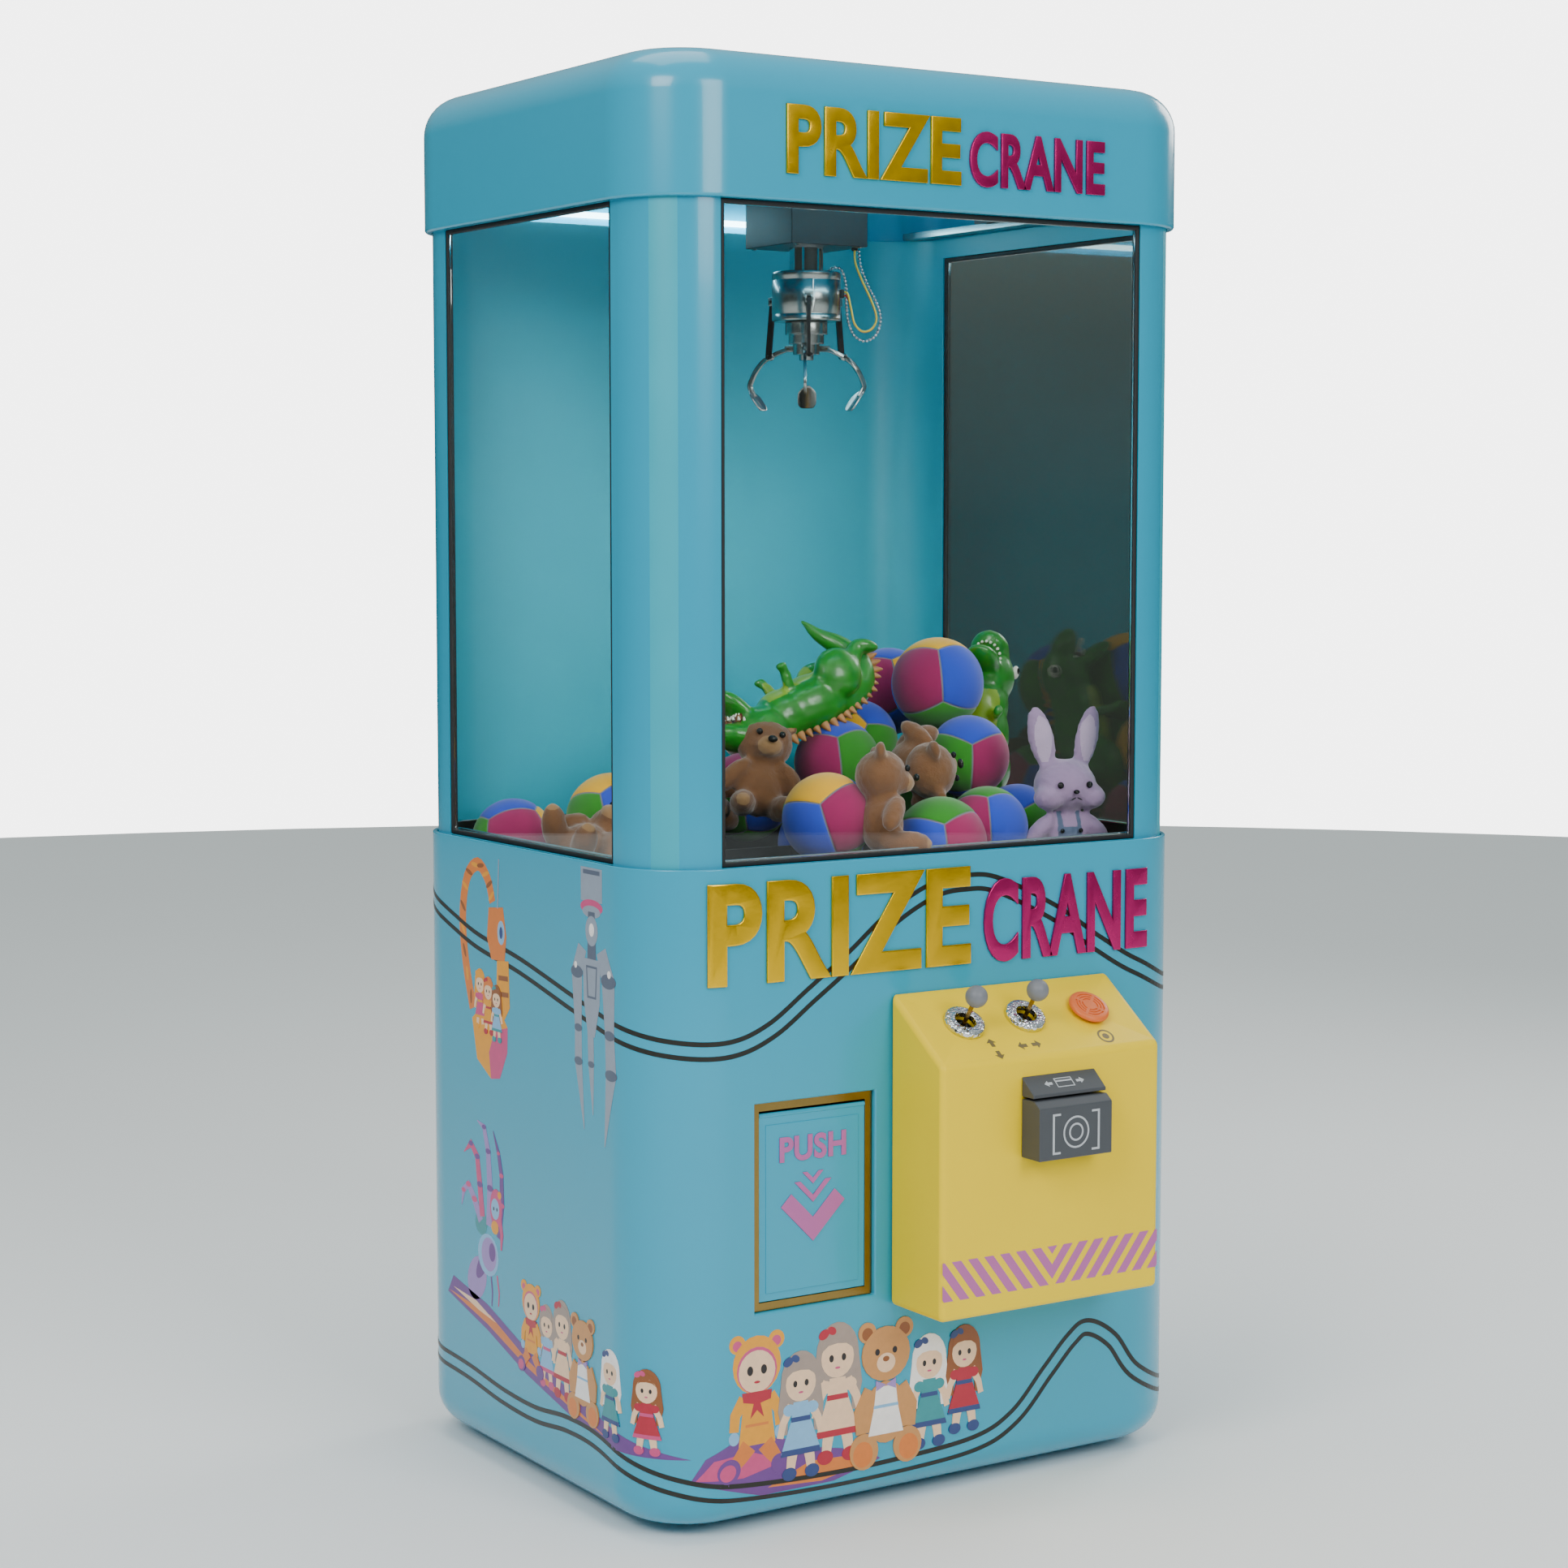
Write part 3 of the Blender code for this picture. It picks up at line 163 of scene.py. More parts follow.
# Phenolic ball knob, tumbled: satin grey.
KNOB_GREY = material("phenolic_grey", "74767C", 0.42, patch_mm=10, patch=0.06, grain_mm=0.7, grain=0.01)
# Moulded polycarbonate button, orange, slightly waxy.
ORANGE = material("polycarbonate_orange", "E06B2C", 0.34, patch_mm=14, patch=0.07, grain_mm=0.8, grain=0.01,
                  Subsurface_Weight=0.08)
# Moulded ABS in dark grey with a fine etched texture.
GREY_ABS = material("etched_abs_grey", "44474C", 0.45, patch_mm=30, patch=0.07, grain_mm=0.8, grain=0.02)
BLACK_ABS = material("etched_abs_black", "141517", 0.48, patch_mm=20, patch=0.10, grain_mm=0.8, grain=0.02)
# Hot-stamped metallic foil on raised letters: gold and magenta, wavy like thin foil.
FOIL_GOLD = material("gold_foil", "E2B400", 0.24, 0.80, patch_mm=22, patch=0.16, grain_mm=7.0, grain=0.06,
                     spread=0.08)
FOIL_MAGENTA = material("magenta_foil", "B81868", 0.26, 0.70, patch_mm=22, patch=0.16, grain_mm=7.0,
                        grain=0.06, spread=0.08)


def glass_material():
    """Float glass, 5 mm: clear, with the faintest green and thin wiped smears on a mirror-smooth face."""
    made = bpy.data.materials.new("float_glass")
    made.use_nodes = True
    tree = made.node_tree
    shader = tree.nodes["Principled BSDF"]
    for key, value in (("Metallic", 0.0), ("IOR", 1.45), ("Transmission Weight", 1.0),
                       ("Base Color", linear("FAFDFC"))):
        shader.inputs[key].default_value = value
    place = add(tree, "ShaderNodeTexCoord").outputs["Object"]
    smear = add(tree, "ShaderNodeTexNoise", {"Vector": place, "Scale": 7.0, "Detail": 6.0})
    wiped = add(tree, "ShaderNodeMapRange", {"Value": smear.outputs["Fac"], "From Min": 0.45,
                                             "From Max": 0.75, "To Min": 0.0, "To Max": 0.03})
    tree.links.new(wiped.outputs["Result"], shader.inputs["Roughness"])
    return made


GLASS = glass_material()


def hammered_chrome():
    """Chrome over a hammered casting: mirror finish broken up by dents about 4 mm across."""
    made = material("hammered_chrome", "D2D4D6", 0.10, 1.0, patch_mm=15, patch=0.05, grain_mm=4.0,
                    grain=0.9)
    tree = made.node_tree
    place = add(tree, "ShaderNodeTexCoord").outputs["Object"]
    dents = add(tree, "ShaderNodeTexVoronoi", {"Vector": place, "Scale": 1000 / 4.0, "Randomness": 1.0})
    relief = next(n for n in tree.nodes if n.type == "BUMP")
    tree.links.new(dents.outputs["Distance"], relief.inputs["Height"])
    return made


HAMMERED = hammered_chrome()


# ---------------------------------------------------------------- making pieces
def to_object(name, mesh, *materials):
    for finish in materials:
        mesh.materials.append(finish)
    thing = bpy.data.objects.new(name, mesh)
    bpy.context.scene.collection.objects.link(thing)
    return thing


def from_bmesh(name, shape, *materials):
    mesh = bpy.data.meshes.new(name)
    shape.to_mesh(mesh)
    shape.free()
    return to_object(name, mesh, *materials)


def applied(thing):
    """The object with its modifiers and place turned into one plain mesh at the origin."""
    bpy.context.view_layer.update()
    seen = thing.evaluated_get(bpy.context.evaluated_depsgraph_get())
    mesh = bpy.data.meshes.new_from_object(seen)
    mesh.transform(thing.matrix_world)
    name, materials = thing.name, list(thing.data.materials)
    bpy.data.objects.remove(thing, do_unlink=True)
    mesh.materials.clear()
    made = to_object(name, mesh, *materials)
    made.name = name
    return made


def smooth(thing, degrees=35):
    thing.data.shade_smooth()
    thing.data.set_sharp_from_angle(angle=math.radians(degrees))
    return thing


def eased(thing, width, segments=3, degrees=35):
    """Rounds every sharp edge, and keeps large faces flat in their shading."""
    rounding = thing.modifiers.new("eased_edges", "BEVEL")
    rounding.width = width
    rounding.segments = segments
    rounding.limit_method = "ANGLE"
    rounding.angle_limit = math.radians(degrees)
    rounding.use_clamp_overlap = True
    thing.data.shade_smooth()
    weights = thing.modifiers.new("flat_faces", "WEIGHTED_NORMAL")
    weights.keep_sharp = False
    return applied(thing)


def bored(thing, *cutters):
    for cutter in cutters:
        cut = thing.modifiers.new("cut", "BOOLEAN")
        cut.operation = "DIFFERENCE"
        cut.solver = "EXACT"
        cut.object = cutter
    made = applied(thing)
    for cutter in cutters:
        bpy.data.objects.remove(cutter, do_unlink=True)
    return made


def united(thing, *others):
    for other in others:
        join = thing.modifiers.new("join", "BOOLEAN")
        join.operation = "UNION"
        join.solver = "EXACT"
        join.object = other
    made = applied(thing)
    for other in others:
        bpy.data.objects.remove(other, do_unlink=True)
    return made


def keep(thing, body="root", replaces=()):
    """Parents a finished piece to its body's empty, and hides the CAD parts it replaces."""
    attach(thing, body)
    if replaces:
        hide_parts(*([replaces] if isinstance(replaces, str) else replaces))
    return thing


def box(name, low, high, *materials):
    shape = bmesh.new()
    bmesh.ops.create_cube(shape, size=1.0)
    low, high = Vector(low), Vector(high)
    bmesh.ops.scale(shape, vec=high - low, verts=shape.verts)
    bmesh.ops.translate(shape, vec=(low + high) / 2, verts=shape.verts)
    return from_bmesh(name, shape, *materials)


def turned(name, profile, matrix, *materials, steps=64, ring=False, degrees=30):
    """A turned piece from (radius, height) points that run down its outer side."""
    edges = [(i, i + 1) for i in range(len(profile) - 1)] + ([(len(profile) - 1, 0)] if ring else [])
    mesh = bpy.data.meshes.new(name)
    mesh.from_pydata([(r, 0, z) for r, z in profile], edges, [])
    thing = to_object(name, mesh, *materials)
    screw = thing.modifiers.new("turn", "SCREW")
    screw.steps = steps
    screw.render_steps = steps
    screw.use_merge_vertices = True
    screw.merge_threshold = 0.000005
    screw.use_smooth_shade = True
    thing.matrix_world = matrix
    return smooth(applied(thing), degrees)


def rounded(profile, radius, steps=4):
    """A profile with its inner corners rounded off by short arcs."""
    made = [profile[0]]
    for before, corner, after in zip(profile, profile[1:], profile[2:]):
        corner, into, out = Vector(corner), Vector(before) - Vector(corner), Vector(after) - Vector(corner)
        reach = min(radius, into.length * 0.45, out.length * 0.45)
        start, end = corner + into.normalized() * reach, corner + out.normalized() * reach
        for i in range(steps + 1):
            t = i / steps
            made.append(tuple(start * (1 - t) ** 2 + corner * 2 * t * (1 - t) + end * t * t))
    made.append(profile[-1])
    return made


def rounded_outline(half_x, half_y, corner, steps):
    """Points around a rounded rectangle, anticlockwise from the front right."""
    points = []
    for quarter, (sx, sy) in enumerate(((1, -1), (1, 1), (-1, 1), (-1, -1))):
        for i in range(steps + 1):
            angle = -math.pi / 2 + quarter * math.pi / 2 + math.pi / 2 * i / steps
            points.append((sx * (half_x - corner) + corner * math.cos(angle),
                           sy * (half_y - corner) + corner * math.sin(angle)))
    return points


def lofted(name, rings, *materials):
    """A closed skin over rings of equal counts, capped at both ends."""
    shape = bmesh.new()
    rows = [[shape.verts.new(p) for p in ring] for ring in rings]
    for low, high in zip(rows, rows[1:]):
        for i in range(len(low)):
            j = (i + 1) % len(low)
            shape.faces.new((low[i], low[j], high[j], high[i]))
    shape.faces.new(rows[0][::-1])
    shape.faces.new(rows[-1])
    bmesh.ops.recalc_face_normals(shape, faces=shape.faces)
    return from_bmesh(name, shape, *materials)


def shell(name, levels, steps, *materials):
    """A rounded box shell from (half x, half y, corner, height) levels."""
    rings = []
    for half_x, half_y, corner, height in levels:
        rings.append([(x, y + CENTRE_Y, height) for x, y in rounded_outline(half_x, half_y, corner, steps)])
    return lofted(name, rings, *materials)


def tube_along(name, points, radius, *materials, sides=6, cyclic=False):
    """A round tube through points."""
    curve = bpy.data.curves.new(name, "CURVE")
    curve.dimensions = "3D"
    curve.bevel_depth = radius
    curve.bevel_resolution = sides // 2 - 1 if sides > 3 else 1
    curve.use_fill_caps = True
    spline = curve.splines.new("POLY")
    spline.points.add(len(points) - 1)
    for point, place in zip(spline.points, points):
        point.co = (*place, 1)
    spline.use_cyclic_u = cyclic
    guide = bpy.data.objects.new(name, curve)
    bpy.context.scene.collection.objects.link(guide)
    bpy.context.view_layer.update()
    mesh = bpy.data.meshes.new_from_object(guide.evaluated_get(bpy.context.evaluated_depsgraph_get()))
    bpy.data.objects.remove(guide, do_unlink=True)
    mesh.materials.clear()
    shape = bmesh.new()
    shape.from_mesh(mesh)
    bmesh.ops.remove_doubles(shape, verts=shape.verts, dist=0.000005)
    shape.to_mesh(mesh)
    shape.free()
    return smooth(to_object(name, mesh, *materials), 50)


def through(points, steps=8):
    """Catmull-Rom points through a route."""
    route = [Vector(p) for p in points]
    ends = [route[0] * 2 - route[1]] + route + [route[-1] * 2 - route[-2]]
    dense = []
    for a, b, c, d in zip(ends, ends[1:], ends[2:], ends[3:]):
        for i in range(steps):
            t = i / steps
            dense.append(0.5 * (2 * b + (c - a) * t + (2 * a - 5 * b + 4 * c - d) * t * t
                                + (3 * b - a - 3 * c + d) * t ** 3))
    return dense + [route[-1]]


# ---------------------------------------------------------------- camera, floor and lights
def set_stage():
    camera_data = bpy.data.cameras.new("camera")
    camera_data.sensor_width = 36.0
    camera_data.lens = 69.69
    camera = bpy.data.objects.new("camera", camera_data)
    camera.location = (-2.3567, -3.6266 + CENTRE_Y, 1.3084 + BASE_BOTTOM)
    camera.rotation_euler = (math.radians(90 - 4.971), 0, -0.5720)
    bpy.context.scene.collection.objects.link(camera)
    bpy.context.scene.camera = camera

    shape = bmesh.new()
    bmesh.ops.create_circle(shape, cap_ends=True, segments=96, radius=9.0)
    floor = from_bmesh("floor", shape, material("pale_plaster_floor", "FCFCFB", 0.8, patch_mm=900,
                                                patch=0.01))

    lights = (
        ("key_softbox", (-3.6, -2.2, 3.4), (0.0, 0.0, 1.1), 1.8, 105),
        ("front_fill", (0.2, -4.4, 2.9), (0.0, 0.0, 0.9), 2.0, 95),
        ("top_panel", (-0.4, 0.2, 4.2), (0.0, 0.1, 0.0), 2.0, 40),
        ("rim_panel", (3.4, 0.8, 2.9), (0.0, 0.0, 1.2), 1.4, 40),
    )
    for name, place, target, size, power in lights:
        data = bpy.data.lights.new(name, "AREA")
        data.shape = "SQUARE"
        data.size = size
        data.energy = power
        lamp = bpy.data.objects.new(name, data)
        lamp.location = place
        lamp.rotation_euler = (Vector(target) - Vector(place)).to_track_quat("-Z", "Y").to_euler()
        bpy.context.scene.collection.objects.link(lamp)

    world = bpy.data.worlds.new("studio")
    world.use_nodes = True
    bpy.context.scene.world = world
    tree = world.node_tree
    background = tree.nodes["Background"]
    place = add(tree, "ShaderNodeTexCoord").outputs["Generated"]
    height = add(tree, "ShaderNodeSeparateXYZ", {"Vector": place})
    sky = add(tree, "ShaderNodeValToRGB", {"Fac": height.outputs["Z"]})
    stops = ((0.0, "30342F"), (0.06, "454A45"), (0.16, "6C756C"), (0.32, "9AA7A6"), (0.6, "BFCBCC"),
             (1.0, "D5DEE0"))
    while len(sky.color_ramp.elements) < len(stops):
        sky.color_ramp.elements.new(0.5)
    for element, (position, colour) in zip(sky.color_ramp.elements, stops):
        element.position = position
        element.color = linear(colour)
    seen = add(tree, "ShaderNodeLightPath").outputs["Is Camera Ray"]
    plain = add(tree, "ShaderNodeMix", {"Factor": seen, "B": (5.0, 5.0, 5.0, 1.0)}, data_type="RGBA")
    tree.links.new(sky.outputs["Color"], plain.inputs["A"])
    tree.links.new(plain.outputs["Result"], background.inputs["Color"])
    background.inputs["Strength"].default_value = 1.0


set_stage()

# ---------------------------------------------------------------- cabinet shells
def front_y(half_depth):
    """The front of a shell of this half depth."""
    return CENTRE_Y - half_depth


def make_base():
    """Base shell."""
    steps, edge = 16, 0.002
    levels = []
    for i in range(9):
        angle = math.pi / 2 * i / 8
        inset = BASE_FILLET * (1 - math.sin(angle))
        levels.append((BASE_X - inset, BASE_Y - inset, BASE_CORNER - inset,
                       BASE_BOTTOM + BASE_FILLET * (1 - math.cos(angle))))
    for i in range(5):
        angle = math.pi / 2 * i / 4
        inset = edge * (1 - math.cos(angle))
        levels.append((BASE_X - inset, BASE_Y - inset, BASE_CORNER - inset,
                       BASE_TOP - edge * (1 - math.sin(angle))))
    inner_x, inner_y = BASE_X - BASE_WALL, BASE_Y - BASE_WALL
    floor = BASE_BOTTOM + BASE_WALL
    levels.append((inner_x, inner_y, SOCKET_CORNER, BASE_TOP))
    round_in = BASE_FILLET - BASE_WALL
    for i in range(7):
        angle = math.pi / 2 * i / 6
        inset = round_in * (1 - math.cos(angle))
        levels.append((inner_x - inset, inner_y - inset, SOCKET_CORNER - inset,
                       floor + round_in * (1 - math.sin(angle))))
    base = shell("base_shell", levels, steps, TEAL)
    frame_low, frame_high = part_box("door_frame")
    flange = 0.0115
    gap = 0.0003
    front = front_y(BASE_Y)
    doorway = box("doorway", (frame_low.x + flange - gap, front - 0.02, frame_low.z + flange - gap),
                  (frame_high.x - flange + gap, front + 0.02, frame_high.z - flange + gap))
    rear = CENTRE_Y + BASE_Y
    service = box("service_way", (-0.220, rear - 0.02, 0.120 + BASE_BOTTOM),
                  (0.220, rear + 0.01, 0.720 + BASE_BOTTOM))
    base = bored(base, doorway, service)
    keep(eased(base, 0.0025, 3), "root", "base_cabinet")


def make_header():
    """Header shell."""
    steps = 16
    inner_x, inner_y = HEADER_X - HEADER_WALL, HEADER_Y - HEADER_WALL
    round_in = HEADER_FILLET - HEADER_WALL
    levels = []
    for i in range(7):
        angle = math.pi / 2 * i / 6
        inset = round_in * (1 - math.sin(angle))
        levels.append((inner_x - inset, inner_y - inset, SOCKET_CORNER - inset,
                       HEADER_TOP - HEADER_WALL - round_in * (1 - math.cos(angle))))
    lip = 0.004
    levels.append((inner_x, inner_y, SOCKET_CORNER, HEADER_BOTTOM))
    for i in range(5):
        angle = math.pi / 2 * i / 4
        inset = lip * (1 - math.sin(angle))
        levels.append((HEADER_X - inset, HEADER_Y - inset, HEADER_CORNER - inset,
                       HEADER_BOTTOM + lip * (1 - math.cos(angle))))
    for i in range(11):
        angle = math.pi / 2 * i / 10
        inset = HEADER_FILLET * (1 - math.cos(angle))
        levels.append((HEADER_X - inset, HEADER_Y - inset, HEADER_CORNER - inset * 0.999,
                       HEADER_TOP - HEADER_FILLET * (1 - math.sin(angle))))
    header = shell("header_cover", levels, steps, TEAL)
    keep(eased(header, 0.0008, 2), "root", "header_shell")


def make_cabin():
    """Four rounded posts and the back wall; the inside faces carry the flatter finish, its lighter colour
    painted lamp light.
    """
    inner_x, inner_y, inner = CABIN_X - CABIN_WALL, CABIN_Y - CABIN_WALL, CABIN_CORNER - CABIN_WALL
    low, high = CABIN_LOW.z, CABIN_HIGH.z
    steps = 16
    outer = [[(x, y + CENTRE_Y, z) for x, y in rounded_outline(CABIN_X, CABIN_Y, CABIN_CORNER, steps)]
             for z in (low, high)]
    hollow = [[(x, y + CENTRE_Y, z) for x, y in rounded_outline(inner_x, inner_y, inner, steps)]
              for z in (low - 0.01, high + 0.01)]
    cabin = lofted("cabin_posts", outer, TEAL, TEAL_INSIDE_PAINTED_LIGHT)
    core = lofted("cabin_core", hollow)
    front = box("front_way", (-WINDOW_X, front_y(CABIN_Y) - 0.01, BASE_TOP),
                (WINDOW_X, front_y(inner_y) + 0.01, HEADER_BOTTOM))
    sides = box("side_way", (-CABIN_X - 0.01, CENTRE_Y - WINDOW_Y, BASE_TOP),
                (CABIN_X + 0.01, CENTRE_Y + WINDOW_Y, HEADER_BOTTOM))
    cabin = eased(bored(cabin, core, front, sides), 0.0012, 2)
    # Inside faces take the second finish, whose lighter colour is painted lamp light.
    for face in cabin.data.polygons:
        spot = face.center
        if abs(spot.x) < inner_x + 0.001 and abs(spot.y - CENTRE_Y) < inner_y + 0.001:
            face.material_index = 1
    keep(cabin, "root", "cabin_frame")


def make_windows():
    """Gaskets with rounded lips, and the panes themselves."""
    for side in ("front", "left", "right"):
        low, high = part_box(side + "_gasket")
        pane_low, pane_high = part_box(side + "_glass")
        gasket = box(side + "_seal", low, high, RUBBER)
        grow = Vector((0, 0.02, 0)) if side == "front" else Vector((0.02, 0, 0))
        slack = Vector((0.0003, 0.0003, 0.0003))
        hole = box("pane_way", pane_low - grow - slack, pane_high + grow + slack)
        keep(eased(bored(gasket, hole), 0.0018, 3), "root", side + "_gasket")
        pane = eased(box(side + "_pane", pane_low, pane_high, GLASS), 0.0006, 2)
        pane.visible_shadow = False
        keep(pane, "root", side + "_glass")


make_base()
make_header()
make_cabin()
make_windows()

# ---------------------------------------------------------------- graphics on the curved shells
def around(u, z, lift, half_x, half_y, corner, bottom, fillet):
    """Point at distance u around a rounded shell from its front middle, at a height, off its skin."""
    flat, flat_y = half_x - corner, half_y - corner
    side = -1 if u < 0 else 1
    bend = corner * math.pi / 2
    far = abs(u) - flat
    if far <= 0:
        spot, out = Vector((u, -half_y)), Vector((0, -1))
    elif bend < far < bend + 2 * flat_y:
        spot, out = Vector((side * half_x, far - bend - flat_y)), Vector((side, 0))
    else:
        rear = far > bend
        angle = (far - 2 * flat_y if rear else far) / corner
        out = Vector((side * math.sin(angle), -math.cos(angle)))
        spot = Vector((side * flat, flat_y if rear else -flat_y)) + out * corner
    down = max(0.0, min(1.0, (bottom + fillet - z) / fillet))
    level = math.sqrt(1 - down * down)
    spot = spot - out * fillet * (1 - level) + out * level * lift
    return Vector((spot.x, spot.y + CENTRE_Y, z - down * lift))


def on_base(u, z, lift):
    """A point of the base's skin from its distance round and height."""
    return around(u, z + BASE_BOTTOM, lift, BASE_X, BASE_Y, BASE_CORNER, BASE_BOTTOM, BASE_FILLET)


def on_header(u, z, lift):
    """A point of the header's skin from its distance round and height."""
    return around(u, z + BASE_BOTTOM, lift, HEADER_X, HEADER_Y, HEADER_CORNER, BASE_BOTTOM, BASE_FILLET)


LEFT_SIDE = (BASE_X - BASE_CORNER) + BASE_CORNER * math.pi / 2 + (BASE_Y - BASE_CORNER)


def left_u(y):
    """Distance around the shell, to the left, of a point y behind the cabinet's centre."""
    return -(LEFT_SIDE + y)


def text_mesh(name, word, left, right, low, high, depth):
    """Bold letters with a bevelled rim, as a bmesh fitted to a width, a height and a depth."""
    curve = bpy.data.curves.new(name, "FONT")
    curve.body = word
    curve.offset = 0.022
    curve.extrude = 0.02
    curve.bevel_depth = 0.012
    curve.bevel_resolution = 2
    curve.resolution_u = 6
    curve.space_character = 1.06
    guide = bpy.data.objects.new(name, curve)
    bpy.context.scene.collection.objects.link(guide)
    bpy.context.view_layer.update()
    mesh = bpy.data.meshes.new_from_object(guide.evaluated_get(bpy.context.evaluated_depsgraph_get()))
    bpy.data.objects.remove(guide, do_unlink=True)
    shape = bmesh.new()
    shape.from_mesh(mesh)
    bmesh.ops.remove_doubles(shape, verts=shape.verts, dist=0.0001)
    spots = np.array([v.co for v in shape.verts])
    near, far = spots.min(0), spots.max(0)
    for vert in shape.verts:
        share = [(vert.co[i] - near[i]) / (far[i] - near[i]) for i in range(3)]
        vert.co = (left + share[0] * (right - left), low + share[1] * (high - low), share[2] * depth)
    return shape


def lettering(name, word, left, right, low, high, skin, finish, depth=0.004):
    """Raised foil letters, bent round the shell they stand on."""
    shape = text_mesh(name, word, left, right, low, high, depth)
    cut_in_strips(shape, left, right)
    for vert in shape.verts:
        vert.co = skin(vert.co.x, vert.co.y, vert.co.z + 0.0001)
    bmesh.ops.recalc_face_normals(shape, faces=shape.faces)
    return keep(smooth(from_bmesh(name, shape, finish), 30))


def cut_in_strips(shape, left, right, step=0.008):
    """Splits flat faces where the skin below them curves."""
    flat = BASE_X - BASE_CORNER
    count = int((right - left) / step)
    for i in range(1, count + 1):
        u = left + i * step
        if flat - 0.01 < abs(u) < flat + BASE_CORNER * math.pi / 2 + 0.01:
            geometry = list(shape.verts) + list(shape.edges) + list(shape.faces)
            bmesh.ops.bisect_plane(shape, geom=geometry, plane_co=(u, 0, 0), plane_no=(1, 0, 0))


lettering("sign_word_gold", "PRIZE", -0.250, 0.022, 1.745, 1.832, on_header, FOIL_GOLD)
lettering("sign_word_magenta", "CRANE", 0.036, 0.262, 1.745, 1.818, on_header, FOIL_MAGENTA)
lettering("base_word_gold", "PRIZE", -0.365, 0.046, 0.714, 0.846, on_base, FOIL_GOLD)
lettering("base_word_magenta", "CRANE", 0.068, 0.352, 0.712, 0.826, on_base, FOIL_MAGENTA)

# ---------------------------------------------------------------- pieces finished from their CAD shape
def from_cad(node, finish, width, body="root", degrees=30, keep_it=True):
    """The CAD piece again, merged into clean faces, with its edges rounded and a real finish."""
    source = frame["nodes"][node]
    shape = bmesh.new()
    shape.from_mesh(source.data)
    shape.transform(source.matrix_world)
    bmesh.ops.remove_doubles(shape, verts=shape.verts, dist=0.00002)
    bmesh.ops.dissolve_limit(shape, angle_limit=math.radians(1), verts=shape.verts, edges=shape.edges)
    made = from_bmesh(node + "_finished", shape, finish)
    made = eased(made, width, 2, degrees) if width else smooth(made, degrees)
    return keep(made, body, node) if keep_it else made


# ---------------------------------------------------------------- console and controls
SLOPE_RISE, CONSOLE_DEPTH = 0.083, 0.1187
CONSOLE_TOP = BASE_BOTTOM + 0.685      # where back and slope would meet, before rounding
SLOPE = math.atan2(SLOPE_RISE, CONSOLE_DEPTH)
CONSOLE_X = (CONSOLE_LOW.x + CONSOLE_HIGH.x) / 2
CONSOLE_HALF = (CONSOLE_HIGH.x - CONSOLE_LOW.x) / 2
CONSOLE_WALL = 0.005
PANEL = (Matrix.Translation((0, front_y(BASE_Y) - CONSOLE_DEPTH / 2, CONSOLE_TOP - SLOPE_RISE / 2))
         @ Matrix.Rotation(SLOPE, 4, "X"))
STICKS = (("left", pivot("left_stick_forward_back").x), ("right", pivot("right_stick_forward_back").x))
BUTTON_X = sum(corner.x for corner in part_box("push_button_cap")) / 2


def on_panel(x, up, height):
    """A point of the sloping control panel, with a lift off it."""
    return PANEL @ Vector((x, up, height))


def prism(name, outline, low, high, direction, *materials):
    """An outline pushed through between two distances, along x from (y, z) or along z from (x, y)."""
    def place(a, b, depth):
        return (depth, a, b) if direction == "x" else (a, b, depth) if direction == "z" else (a, depth, b)
    return lofted(name, [[place(a, b, depth) for a, b in outline] for depth in (low, high)], *materials)


def make_console():
    back, front = CONSOLE_HIGH.y, CONSOLE_LOW.y
    top, low = CONSOLE_TOP, CONSOLE_LOW.z
    side = [(back, low), (back, top), (front, top - SLOPE_RISE), (front, low)]
    left, right = CONSOLE_X - CONSOLE_HALF, CONSOLE_X + CONSOLE_HALF
    body = eased(prism("console", side, left, right, "x", YELLOW), 0.008, 6)
    drop = CONSOLE_WALL / math.cos(SLOPE)
    rise = math.tan(SLOPE)
    inside = [(back + 0.02, low + CONSOLE_WALL), (back + 0.02, top - drop + 0.02 * rise),
              (front + CONSOLE_WALL, top - SLOPE_RISE - drop + CONSOLE_WALL * rise),
              (front + CONSOLE_WALL, low + CONSOLE_WALL)]
    hollow = prism("console_hollow", inside, left + CONSOLE_WALL, right - CONSOLE_WALL, "x")
    holes = []
    for x, radius in ((STICKS[0][1], 0.015), (STICKS[1][1], 0.015), (BUTTON_X, 0.0168)):
        holes.append(turned("panel_hole", [(0, 0.02), (radius, 0.02), (radius, -0.02), (0, -0.02)],
                            PANEL @ Matrix.Translation((x, 0, 0)), steps=48))
    keep(smooth(bored(body, hollow, *holes), 30), "root", "control_console")


